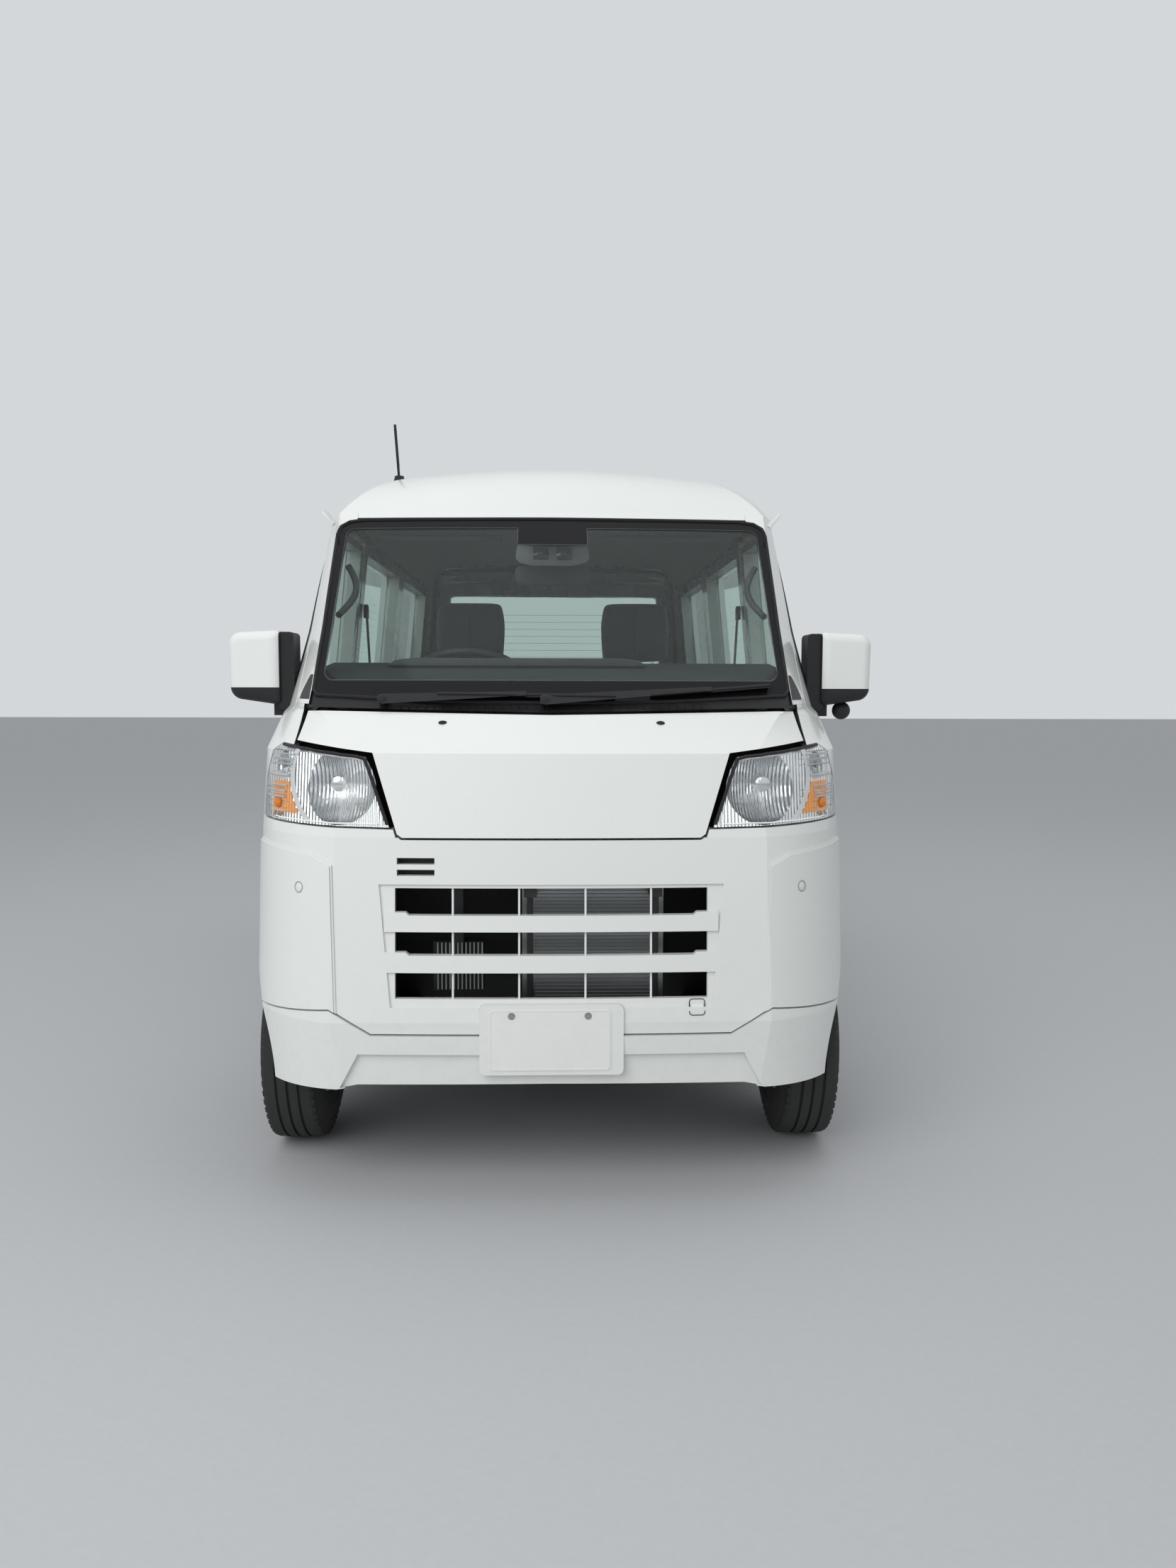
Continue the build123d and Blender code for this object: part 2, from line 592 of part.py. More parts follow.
def bumper_form(inset, low, high):
    """The rear bumper's outer form, inset inside its skin, between two heights."""
    row = (low,) + bumper_row[1:]
    return extrude(plan_section(row, inset), amount=high - low)


rear_bumper = bumper_form(0, 255, BUMPER_TOP_Z) - bumper_form(BUMPER_T, 200, BUMPER_TOP_Z - 12)
rear_bumper = rear_bumper - bumper_form(WALL + 28, 200, BUMPER_TOP_Z + 10)
rear_bumper = rear_bumper & block(-900, 900, BUMPER_FRONT_Y, LENGTH + 10, 200, 700)
rear_bumper = rear_bumper - WHEEL_CUTS[1]
for bracket in both_sides(block(665, 700, 3250, 3310, BUMPER_TOP_Z - 1, BUMPER_TOP_Z + PANEL_GAP - SEAT_GAP)):
    rear_bumper = rear_bumper + bracket

# Cowl cover below the windshield, and the two wipers parked on the glass
cowl_cover = (body_form(5) - body_form(24, overrun=20)) & front_prism(COWL_OUTLINE, 100, 700)
WIPERS = [
    # pivot x and z, joint x and z, blade's ends x and z
    (-413, 1162, -62, 1176, -278, 1174, 155, 1169),
    (-16, 1161, 395, 1188, 243, 1172, 549, 1196),
]
blade_layer = body_form(-14) - body_form(4 - SEAT_GAP, overrun=20)
arm_layer = body_form(-20) - body_form(-14, overrun=20)
wiper_solids = []
for pivot_x, pivot_z, joint_x, joint_z, low_x, low_z, high_x, high_z in WIPERS:
    blade = blade_layer & front_prism([
        (low_x, low_z - 5), (high_x, high_z - 5), (high_x, high_z + 5), (low_x, low_z + 5),
    ], 60, 700)
    arm = arm_layer & front_prism([
        (pivot_x, pivot_z - 12), (joint_x, joint_z - 5), (joint_x, joint_z + 5), (pivot_x, pivot_z + 12),
    ], 60, 700)
    post = (body_form(-20) - body_form(4 - SEAT_GAP, overrun=20)) & front_prism([
        (pivot_x - 12, pivot_z - 10), (pivot_x + 12, pivot_z - 10),
        (pivot_x + 12, pivot_z + 10), (pivot_x - 12, pivot_z + 10),
    ], 60, 700)
    wiper_solids.append(blade + arm + post)

# Floor: toe board, foot floor, seat box and load floor in one pressed profile
floor_profile = [
    (TOE_Y, 1085),
    (TOE_Y, 460),
    (TOE_Y + 62, FOOT_FLOOR_Z - FLOOR_T),
    (SEAT_BOX_Y + FLOOR_T, FOOT_FLOOR_Z - FLOOR_T),
    (SEAT_BOX_Y + FLOOR_T, LOAD_FLOOR_Z - FLOOR_T),
    (LENGTH - 95, LOAD_FLOOR_Z - FLOOR_T),
    (LENGTH - 95, LOAD_FLOOR_Z),
    (SEAT_BOX_Y, LOAD_FLOOR_Z),
    (SEAT_BOX_Y, FOOT_FLOOR_Z),
    (TOE_Y + 72, FOOT_FLOOR_Z),
    (TOE_Y + FLOOR_T, 470),
    (TOE_Y + FLOOR_T, 1085),
]
DOOR_CLEAR = 8.0
floor_blank = side_prism(floor_profile, -900, 900)
floor_pan = floor_blank & BODY_ROOM
edge_cut = block(HALF_WIDTH - 1 - WALL - DOOR_CLEAR, 900, 390, DOOR_REAR_Y + 5, 0, 1200)
for edge in both_sides(edge_cut):
    floor_pan = floor_pan - edge
gate_clear = block(-900, 900, LENGTH - 27 - WALL - DOOR_CLEAR - 12, LENGTH, LOAD_FLOOR_Z - 100, 800)
floor_pan = floor_pan - gate_clear
bed_panel = block(-530, 530, 1600, 3180, LOAD_FLOOR_Z - 1, LOAD_FLOOR_Z + 4)
floor_pan = floor_pan + bed_panel
HOUSE_IN_X = 425.0
HOUSE_OUT_X = 676.0
KINGPIN_LOW = Vector(600, FRONT_AXLE_Y, 192)
KINGPIN_TOP = Vector(514, FRONT_AXLE_Y, 690)
KINGPIN_RUN = (KINGPIN_TOP - KINGPIN_LOW).normalized()
TOWER_R = 78.0
TOWER_T = 7.0
house_outer = rod((HOUSE_IN_X - HOUSE_T, FRONT_AXLE_Y, TYRE_R), (HOUSE_OUT_X, FRONT_AXLE_Y, TYRE_R), HOUSE_R + HOUSE_T)
house_inner = rod((HOUSE_IN_X, FRONT_AXLE_Y, TYRE_R), (HOUSE_OUT_X + 5, FRONT_AXLE_Y, TYRE_R), HOUSE_R)
house_half = block(0, 900, 100, 900, 300, 1000)
tower_low = KINGPIN_LOW + KINGPIN_RUN * 380
tower_high = KINGPIN_TOP + KINGPIN_RUN * (SEAT_GAP + TOWER_T)
tower_outer = rod(tower_low, tower_high, TOWER_R)
tower_inner = rod(tower_low, (KINGPIN_TOP + KINGPIN_RUN * SEAT_GAP), TOWER_R - TOWER_T)
house = (house_outer & house_half) + (tower_outer - house_inner)
house = house - house_inner - tower_inner
for side_sign in (1, -1):
    house_room = house_inner + tower_inner
    if side_sign == -1:
        house_room = mirror(house_room, about=Plane.YZ)
    floor_pan = floor_pan - house_room
    tyre_room = rod((side_sign * 640, FRONT_AXLE_Y, TYRE_R), (side_sign * 900, FRONT_AXLE_Y, TYRE_R), HOUSE_R)
    floor_pan = floor_pan - tyre_room
for one_house in both_sides(house & BODY_ROOM):
    floor_pan = floor_pan + one_house
rear_house_outer = rod((548, REAR_AXLE_Y, TYRE_R), (HOUSE_OUT_X, REAR_AXLE_Y, TYRE_R), HOUSE_R + 2 * HOUSE_T)
rear_house_inner = rod((548 + HOUSE_T, REAR_AXLE_Y, TYRE_R), (HOUSE_OUT_X + 5, REAR_AXLE_Y, TYRE_R), HOUSE_R)
rear_house = (rear_house_outer - rear_house_inner) & block(0, 900, 2500, 3300, 330, 1000) & BODY_ROOM
for one_house in both_sides(rear_house):
    floor_pan = floor_pan + one_house

# Underframe: two cranked side rails, cross members and the rear panel
RAIL_X = 340.0
RAIL_W = 60.0
RAIL_FRONT_Y = 115.0
rail = side_prism([
    (RAIL_FRONT_Y, 300),
    (SEAT_BOX_Y - 25, 300),
    (1090, 480),
    (LENGTH - 100, 505),
    (LENGTH - 100, LOAD_FLOOR_Z - FLOOR_T),
    (SEAT_BOX_Y + FLOOR_T, LOAD_FLOOR_Z - FLOOR_T),
    (SEAT_BOX_Y + FLOOR_T, FOOT_FLOOR_Z - FLOOR_T),
    (RAIL_FRONT_Y, FOOT_FLOOR_Z - FLOOR_T),
], RAIL_X, RAIL_X + RAIL_W)
underframe = rail + mirror(rail, about=Plane.YZ)
CROSS_MEMBERS = [
    # front y, rear y, low z, high z, half width
    (118, 160, 310, 370, 400),
    (820, 880, 310, 380, 400),
    (1540, 1590, 520, 625, 640),
    (2440, 2500, 540, 625, 640),
    (LENGTH - 125, LENGTH - 97, 300, GATE_FOOT_Z - 6, 600),
]
for front_y, rear_y, low, high, half in CROSS_MEMBERS:
    underframe = underframe + block(-half, half, front_y, rear_y, low, high)
for jack_pad in both_sides(block(350, 390, 840, 900, 294, 301)):
    underframe = underframe + jack_pad
for mount in both_sides(block(230 + SEAT_GAP, RAIL_X + 10, 1180, 1240, 500, 560)):
    underframe = underframe + mount
underframe = underframe + block(-60, 60, 1540, 1590, 505 + SEAT_GAP, 525)

# Structure behind the nose: rails and posts that carry the bumper, lamps and radiator
nose_layer = BODY_ROOM - body_form(WALL + 28, overrun=20)
nose_zone = front_prism(mirrored([
    (0, 742), (690, 742), (700, 845), (0, 820),
]), -60, 300)
nose_zone = nose_zone + front_prism(mirrored([(0, 360), (600, 360), (600, 452), (0, 452)]), -60, 300)
for sign in (1, -1):
    nose_zone = nose_zone + block(min(sign * 405, sign * 470), max(sign * 405, sign * 470), -60, 300, 360, 800)
    nose_zone = nose_zone + block(min(sign * 385, sign * 690), max(sign * 385, sign * 690), -60, 300, 800, 867.7)
house_clear = rod((HOUSE_IN_X - HOUSE_T - 0.3, FRONT_AXLE_Y, TYRE_R), (900, FRONT_AXLE_Y, TYRE_R), HOUSE_R + HOUSE_T + 0.3)
front_structure = cut_all(nose_layer & nose_zone, [bonnet_hole] + both_sides(house_clear))
apron = block(560, 600, 150, TOE_Y - 0.3, 760, 860)
apron = apron & body_form(WALL + 15)
for one_apron in both_sides(apron):
    front_structure = front_structure + one_apron
for sign in (1, -1):
    reach = block(min(sign * RAIL_X, sign * 400), max(sign * RAIL_X, sign * 400), 50, RAIL_FRONT_Y - SEAT_GAP, 310, 452)
    front_structure = front_structure + (reach & BODY_ROOM)

# Rubber stops that the closed bonnet's frame rests on
STOP_LOW, STOP_HIGH = 285, 315
stop_foot = nose_layer & block(STOP_LOW, STOP_HIGH, -60, 300, 815, 850)
stop_head = body_form(BONNET_FRAME + SEAT_GAP) - body_form(WALL + 28, overrun=20)
stop_head = stop_head & block(STOP_LOW, STOP_HIGH, -60, 300, NOSE_EDGE_Z, 895)
for stop in both_sides(stop_foot + stop_head):
    front_structure = front_structure + stop

RADIATOR_Y = 135.0
RADIATOR_BRACKETS = [
    # low x, high x, low z, high z
    (-65, -35, 400, 440),
    (230, 260, 400, 440),
    (-65, -35, 700, 775),
    (230, 260, 700, 775),
]
for low_x, high_x, low_z, high_z in RADIATOR_BRACKETS:
    bracket = block(low_x, high_x, 60, RADIATOR_Y - SEAT_GAP, low_z, high_z)
    front_structure = front_structure + (bracket & BODY_ROOM)
radiator = block(-71, 267, RADIATOR_Y, RADIATOR_Y + 48, 400, 741.7)
horn = block(-281, -162, 112, 160, 470, 589) + block(-235, -208, 96, 125, 560, 742 - SEAT_GAP)

# Engine block under the front seats, gearbox, shafts, exhaust, tank
ENGINE_Y = 1010.0
engine = block(-230, 230, ENGINE_Y, ENGINE_Y + 460, 270, 600)
gearbox = rod((0, ENGINE_Y + 460.3, 400), (0, ENGINE_Y + 800, 400), 105)
rear_shaft = rod((0, ENGINE_Y + 780, 400), (0, REAR_AXLE_Y - 158, 285), 30)
rear_shaft = rear_shaft + rod((0, REAR_AXLE_Y - 164, 285), (0, REAR_AXLE_Y - 150 - SEAT_GAP, 285), 45)
front_shaft = rod((-90, ENGINE_Y - 0.3, 280), (-90, FRONT_AXLE_Y + 40, 280), 25)
front_diff = rod((-150, FRONT_AXLE_Y, TYRE_R), (150, FRONT_AXLE_Y, TYRE_R), 85)
front_diff = front_diff + rod((-90, FRONT_AXLE_Y + 40, 280), (-90, FRONT_AXLE_Y + 112, 280), 29)
half_shafts = rod((-505, FRONT_AXLE_Y, TYRE_R), (505, FRONT_AXLE_Y, TYRE_R), 16)
boots = rod((-505, FRONT_AXLE_Y, TYRE_R), (-450, FRONT_AXLE_Y, TYRE_R), 36)
boots = boots + rod((450, FRONT_AXLE_Y, TYRE_R), (505, FRONT_AXLE_Y, TYRE_R), 36)
driveline = gearbox + rear_shaft
front_drive = front_diff + half_shafts + boots + front_shaft
fuel_tank = block(130, RAIL_X - 0.3, 1860, 2420, 330, 600)
fuel_tank = fillet(fuel_tank.edges().filter_by(Axis.Y), 40)
muffler = rod((-200, 2330, 420), (-200, 2760, 420), 75)
pipe = rod((-200, ENGINE_Y + 300, 400), (-200, 2330, 400), 22)
tail_pipe = rod((-200, 2760, 420), (-200, 3130, 430), 20)
exhaust = muffler + pipe + tail_pipe
exhaust = exhaust - block(-240, -150, 900, ENGINE_Y + 460.3, 300, 500)

# Rear axle with its springs, and the front lower arms
axle_tube = rod((-560, REAR_AXLE_Y, TYRE_R), (560, REAR_AXLE_Y, TYRE_R), 34)
axle_case = Pos(0, REAR_AXLE_Y, TYRE_R) * Sphere(118)
axle_nose = rod((0, REAR_AXLE_Y - 150, 285), (0, REAR_AXLE_Y, 285), 52)
rear_axle = axle_tube + axle_case + axle_nose
for sign in (1, -1):
    spring = rod((sign * 370, REAR_AXLE_Y, TYRE_R), (sign * 370, REAR_AXLE_Y, 499.8), 46, 32)
    drum = rod((sign * 560, REAR_AXLE_Y, TYRE_R), (sign * 606, REAR_AXLE_Y, TYRE_R), 108)
    stub = rod((sign * 560, REAR_AXLE_Y, TYRE_R), (sign * 690, REAR_AXLE_Y, TYRE_R), HUB_BORE_R - SEAT_GAP)
    rear_axle = rear_axle + spring + drum + stub
BALL_GAP = SEAT_GAP
ball_plane_low = KINGPIN_LOW - KINGPIN_RUN * 22
arm_pad = rod((ball_plane_low - KINGPIN_RUN * 20), ball_plane_low, 30)
arm_plate = extrude(Pos(0, 0, 148) * make_face(Polyline([
    (400, FRONT_AXLE_Y - 60), (612, FRONT_AXLE_Y - 22), (612, FRONT_AXLE_Y + 22),
    (520, FRONT_AXLE_Y + 30), (440, FRONT_AXLE_Y + 190), (400, FRONT_AXLE_Y + 190),
], close=True)), amount=14)
arm_hanger = block(RAIL_X, 410, FRONT_AXLE_Y - 70, FRONT_AXLE_Y - 30, 148, 299.7)
arm_hanger = arm_hanger + block(RAIL_X, 410, FRONT_AXLE_Y + 150, FRONT_AXLE_Y + 190, 148, 299.7)
lower_arms = both_sides(arm_plate + arm_pad + arm_hanger)

# Front knuckles: hub, upright, strut and spring turn together about the kingpin line
DISC_R = 86.0
boss = rod((KINGPIN_LOW - KINGPIN_RUN * (22 - BALL_GAP)), (KINGPIN_LOW + KINGPIN_RUN * 20), 22)
hub = rod((560, FRONT_AXLE_Y, TYRE_R), (FRONT_WHEEL_X - 22.3, FRONT_AXLE_Y, TYRE_R), 44)
spindle = rod((620, FRONT_AXLE_Y, TYRE_R), (692, FRONT_AXLE_Y, TYRE_R), HUB_BORE_R - SEAT_GAP)
disc = rod((604, FRONT_AXLE_Y, TYRE_R), (616, FRONT_AXLE_Y, TYRE_R), DISC_R)
upright = block(560, 598, FRONT_AXLE_Y - 30, FRONT_AXLE_Y + 30, 186, 350)
STRUT_FOOT = Vector(541, FRONT_AXLE_Y, 300)
strut_top = KINGPIN_TOP - KINGPIN_RUN * 6
strut = rod(STRUT_FOOT, strut_top, 23)
clamp = block(536, 572, FRONT_AXLE_Y - 24, FRONT_AXLE_Y + 24, 295, 350)
spring_low = STRUT_FOOT + (strut_top - STRUT_FOOT) * 0.64
coil = rod(spring_low, strut_top, 46)
top_pad = rod((KINGPIN_TOP - KINGPIN_RUN * 12), KINGPIN_TOP, 58)
caliper = block(586, 626, FRONT_AXLE_Y + 60, FRONT_AXLE_Y + 122, TYRE_R - 45, TYRE_R + 45)
link = block(572, 600, FRONT_AXLE_Y + 25, FRONT_AXLE_Y + 70, TYRE_R - 30, TYRE_R + 30)
knuckle = boss + hub + spindle + disc + upright + strut + clamp + coil + top_pad + caliper + link
knuckles = both_sides(knuckle)

# Wheels: a tyre with three grooves and a pressed steel rim, turned about X
TREAD_HALF = 52.0
GROOVES = [-27.0, 0.0, 27.0]
GROOVE_W = 7.0
GROOVE_D = 7.0


def tyre_at(x, y):
    """One tyre: rounded shoulders, flat tread and three grooves."""
    half = TYRE_W / 2
    profile = make_face([
        Line((-half + 14, BEAD_R), (half - 14, BEAD_R)),
        ThreePointArc((half - 14, BEAD_R), (half, (BEAD_R + TYRE_R) / 2), (half - 9, TYRE_R - 22)),
        ThreePointArc((half - 9, TYRE_R - 22), (half - 13, TYRE_R - 8), (TREAD_HALF, TYRE_R - 2)),
        ThreePointArc((TREAD_HALF, TYRE_R - 2), (0, TYRE_R), (-TREAD_HALF, TYRE_R - 2)),
        ThreePointArc((-TREAD_HALF, TYRE_R - 2), (-half + 13, TYRE_R - 8), (-half + 9, TYRE_R - 22)),
        ThreePointArc((-half + 9, TYRE_R - 22), (-half, (BEAD_R + TYRE_R) / 2), (-half + 14, BEAD_R)),
    ])
    for groove in GROOVES:
        profile = profile - Pos(groove, TYRE_R) * Rectangle(GROOVE_W, 2 * GROOVE_D)
    return Pos(x, y, TYRE_R) * revolve(profile, axis=Axis.X)


def rim_at(x, y, sign):
    """One steel rim; sign is +1 where the dished face looks towards +X."""
    half = RIM_W / 2
    profile = make_face(Polyline([
        (-half + 1, BEAD_R - SEAT_GAP), (half - 1, BEAD_R - SEAT_GAP),
        (half - 1, BEAD_R - 8), (22, 134), (-22, 134), (-half + 1, BEAD_R - 8),
    ], close=True))
    disc_profile = make_face(Polyline([
        (4, 136), (26, 128), (30, 96), (12, 72), (12, HUB_BORE_R), (-22, HUB_BORE_R),
        (-22, 60), (2, 78), (18, 100), (12, 124), (-6, 136),
    ], close=True))
    if sign < 0:
        disc_profile = mirror(disc_profile, about=Plane.YZ)
    body = revolve(profile, axis=Axis.X) + revolve(disc_profile, axis=Axis.X)
    vents = []
    for index in range(8):
        vents.append(Rot(index * 45 + 22.5, 0, 0) * (Pos(0, 0, 108) * Rot(0, 90, 0) * Cylinder(12, 120)))
    body = body - vents
    return Pos(x, y, TYRE_R) * body


WHEELS = [
    # name, x of the wheel's middle, y of the axle, side
    ("front_left", FRONT_WHEEL_X, FRONT_AXLE_Y, 1),
    ("front_right", -FRONT_WHEEL_X, FRONT_AXLE_Y, -1),
    ("rear_left", REAR_WHEEL_X, REAR_AXLE_Y, 1),
    ("rear_right", -REAR_WHEEL_X, REAR_AXLE_Y, -1),
]
for name, wheel_x, axle_y, sign in WHEELS:
    save(f"tyre_{name}", tyre_at(wheel_x, axle_y))
    save(f"rim_{name}", rim_at(wheel_x, axle_y, sign))

# Cabin: dashboard, steering wheel, seats
DASH_HALF = 628.0
dashboard = side_prism([
    (TOE_Y + FLOOR_T + 0.3, 900), (TOE_Y + FLOOR_T + 0.3, 1190), (560, 1236), (780, 1258),
    (842, 1232), (846, 1150), (812, 1030), (800, 880), (690, 800), (520, 790),
], -DASH_HALF, DASH_HALF, radius=12)
dashboard = dashboard & body_form(WALL + 6)
for corner in both_sides(block(606, 640, 300, 505, 1070, 1200)):
    dashboard = dashboard - corner
WHEEL_CENTRE = Vector(-250, 938, 1176)
WHEEL_TILT = math.radians(50)
WHEEL_RUN = Vector(0, math.cos(WHEEL_TILT), math.sin(WHEEL_TILT))
WHEEL_R = 180.0
wheel_plane = Plane(origin=WHEEL_CENTRE, x_dir=(1, 0, 0), z_dir=WHEEL_RUN)
column_end = WHEEL_CENTRE - WHEEL_RUN * 52
column = rod((WHEEL_CENTRE - WHEEL_RUN * 230), column_end, 44)
dashboard = dashboard + column
steering_wheel = wheel_plane * Torus(WHEEL_R, 14)
steering_wheel = steering_wheel + wheel_plane * (Pos(0, 0, -16) * Cylinder(62, 52))
for turn in (0, 180, 270):
    spoke = Rot(0, 0, turn) * (Pos(WHEEL_R / 2, 0, -8) * Box(WHEEL_R - 10, 34, 14))
    steering_wheel = steering_wheel + wheel_plane * spoke
hub_pin = rod((column_end + WHEEL_RUN * SEAT_GAP), (WHEEL_CENTRE - WHEEL_RUN * 30), 18)
steering_wheel = steering_wheel + hub_pin

SEAT_W = 470.0
cushion = side_prism([
    (962, LOAD_FLOOR_Z + SEAT_GAP), (950, 742), (985, 772), (1360, 742), (1385, LOAD_FLOOR_Z + SEAT_GAP),
], -SEAT_W / 2, SEAT_W / 2, radius=12)
back = side_prism([
    (1386, LOAD_FLOOR_Z + SEAT_GAP), (1366, 750), (1438, 1270), (1478, 1275), (1545, 1200),
    (1490, LOAD_FLOOR_Z + SEAT_GAP),
], -SEAT_W / 2, SEAT_W / 2, radius=14)
head = side_prism([
    (1432, 1268), (1424, 1420), (1446, 1484), (1500, 1486), (1530, 1440), (1522, 1268),
], -118, 118, radius=14)
seat_back = back + head
seat_cushions = [Pos(SEAT_X, 0, 0) * cushion, Pos(-SEAT_X, 0, 0) * cushion]
seat_backs = [Pos(SEAT_X, 0, 0) * seat_back, Pos(-SEAT_X, 0, 0) * seat_back]

# Mirrors on the front doors
MIRROR_OUT_X = 875.0
MIRROR_Y = 560.0
mirror_outline = [(735, 1343), (MIRROR_OUT_X, 1336), (MIRROR_OUT_X - 4, 1160), (735, 1140)]
mirror_cap = front_prism(mirror_outline, MIRROR_Y, MIRROR_Y + 105, radius=[14, 34, 34, 14])
mirror_cap = fillet(mirror_cap.faces().sort_by(Axis.Y)[0].edges(), 26)
mirror_root = front_prism([(700, 1338), (745, 1338), (745, 1128), (700, 1128)], MIRROR_Y + 22, MIRROR_Y + 105, radius=12)
mirror_arm = block(600, 760, MIRROR_Y + 40, MIRROR_Y + 90, 1112, 1150)
mirror_body = (mirror_cap + mirror_root + mirror_arm) - body_form(-SEAT_GAP, overrun=20)
near_mirror = Pos(803, MIRROR_Y + 55, 1128) * Sphere(25)
mirrors = [mirror_body + near_mirror, mirror(mirror_body, about=Plane.YZ)]

# Aerial on the roof, driver's side
AERIAL_X = -481.0
aerial_foot = Pos(AERIAL_X, 1128, HEIGHT - 76) * Cone(30, 14, 68)
aerial = (aerial_foot + rod((AERIAL_X, 1128, HEIGHT - 60), (AERIAL_X - 8, 1096, 2000), 4)) - ROOF_OUTER

LEFT_RIGHT = ("left", "right")
for index, side in enumerate(LEFT_RIGHT):
    save(f"door_{side}", doors[index])
    save(f"door_glass_{side}", door_glasses[index])
    save(f"mirror_{side}", mirrors[index])
    save(f"knuckle_{side}", knuckles[index])

save("body_sides", Compound(body_sides))
save("bonnet", bonnet)
save("bumper_face", bumper_face)
save("bumper_skirt", bumper_skirt)
save("headlamps", Compound(headlamps))
save("headlamp_lenses", Compound(headlamp_lenses))
save("fenders", Compound(fenders))
save("windshield", windshield)
save("roof", roof)
save("sliding_doors", Compound(sliding_doors))
save("side_glass", Compound(side_glass))
save("tailgate", tailgate)
save("tailgate_glass", tailgate_glass)
save("tail_lamps", Compound(tail_lamps))
save("rear_bumper", rear_bumper)
save("cowl_cover", cowl_cover)
save("wipers", Compound(wiper_solids))
save("floor_pan", floor_pan)
save("underframe", underframe)
save("front_structure", front_structure)
save("radiator", radiator)
save("horn", horn)
save("engine", engine)
save("driveline", driveline)
save("front_drive", front_drive)
save("fuel_tank", fuel_tank)
save("exhaust", exhaust)
save("rear_axle", rear_axle)
save("lower_arms", Compound(lower_arms))
save("dashboard", dashboard)
save("steering_wheel", steering_wheel)
save("seat_cushions", Compound(seat_cushions))
save("seat_backs", Compound(seat_backs))
save("aerial", aerial)
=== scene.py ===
"""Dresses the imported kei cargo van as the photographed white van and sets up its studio."""

from __future__ import annotations

import json
import logging
import math
from collections.abc import Iterable, Sequence
from dataclasses import dataclass, field
from enum import Enum

import bmesh
import bpy
from mathutils import Matrix, Vector
from mathutils.bvhtree import BVHTree

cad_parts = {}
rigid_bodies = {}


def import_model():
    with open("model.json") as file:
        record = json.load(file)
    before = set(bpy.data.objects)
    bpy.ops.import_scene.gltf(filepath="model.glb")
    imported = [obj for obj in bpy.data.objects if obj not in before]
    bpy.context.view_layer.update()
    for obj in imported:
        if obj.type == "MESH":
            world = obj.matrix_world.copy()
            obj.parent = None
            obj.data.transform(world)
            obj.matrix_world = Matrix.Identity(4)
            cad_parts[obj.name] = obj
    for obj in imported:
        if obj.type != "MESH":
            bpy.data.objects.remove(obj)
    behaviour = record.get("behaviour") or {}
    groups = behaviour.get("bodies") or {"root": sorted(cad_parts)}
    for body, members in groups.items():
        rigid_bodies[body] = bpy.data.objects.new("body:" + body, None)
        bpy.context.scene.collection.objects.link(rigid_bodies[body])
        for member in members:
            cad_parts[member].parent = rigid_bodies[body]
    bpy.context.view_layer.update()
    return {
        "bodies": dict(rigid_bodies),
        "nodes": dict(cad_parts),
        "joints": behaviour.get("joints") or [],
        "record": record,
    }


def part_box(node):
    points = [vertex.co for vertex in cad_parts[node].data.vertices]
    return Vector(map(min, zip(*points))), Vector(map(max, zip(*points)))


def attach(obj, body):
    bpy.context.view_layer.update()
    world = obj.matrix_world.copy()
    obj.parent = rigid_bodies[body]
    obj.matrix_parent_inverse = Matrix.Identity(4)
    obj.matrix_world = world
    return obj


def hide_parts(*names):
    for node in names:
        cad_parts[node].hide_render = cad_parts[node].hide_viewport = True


LOG = logging.getLogger("kei_van")
Colour = tuple[float, float, float]
Point = tuple[float, float, float]
Pair = tuple[float, float]
Socket = bpy.types.NodeSocket

VAN_LENGTH = 3.395

# Rays start this far out from the middle. A point beyond a MISS value means that the ray met nothing.
FAR_AHEAD = -3.0
FAR_BEHIND = 3.0
FAR_ASIDE = 1.2
FRONT_MISS = -2.0
REAR_MISS = 2.5
SIDE_MISS = 1.0

FULL_TURN = 6.283
ROAD_DUST: Colour = (0.42, 0.39, 0.34)
# Cabin-facing paint turns this grey: partly the lining's colour, partly painted shade inside the cabin.
LINING_AND_SHADE_GREY: Colour = (0.13, 0.14, 0.14)


def nose(depth: float) -> float:
    """Returns the row Y of a plane `depth` metres behind the nose."""
    return depth - VAN_LENGTH / 2


class Side(Enum):
    """The vehicle's two sides, by the sign of X."""

    LEFT = 1
    RIGHT = -1

    @property
    def word(self) -> str:
        """The side's name in piece names."""
        return self.name.lower()


class Axle(Enum):
    """The two axles, by their depth behind the nose."""

    FRONT = 0.460
    REAR = 2.910


# --- finishes


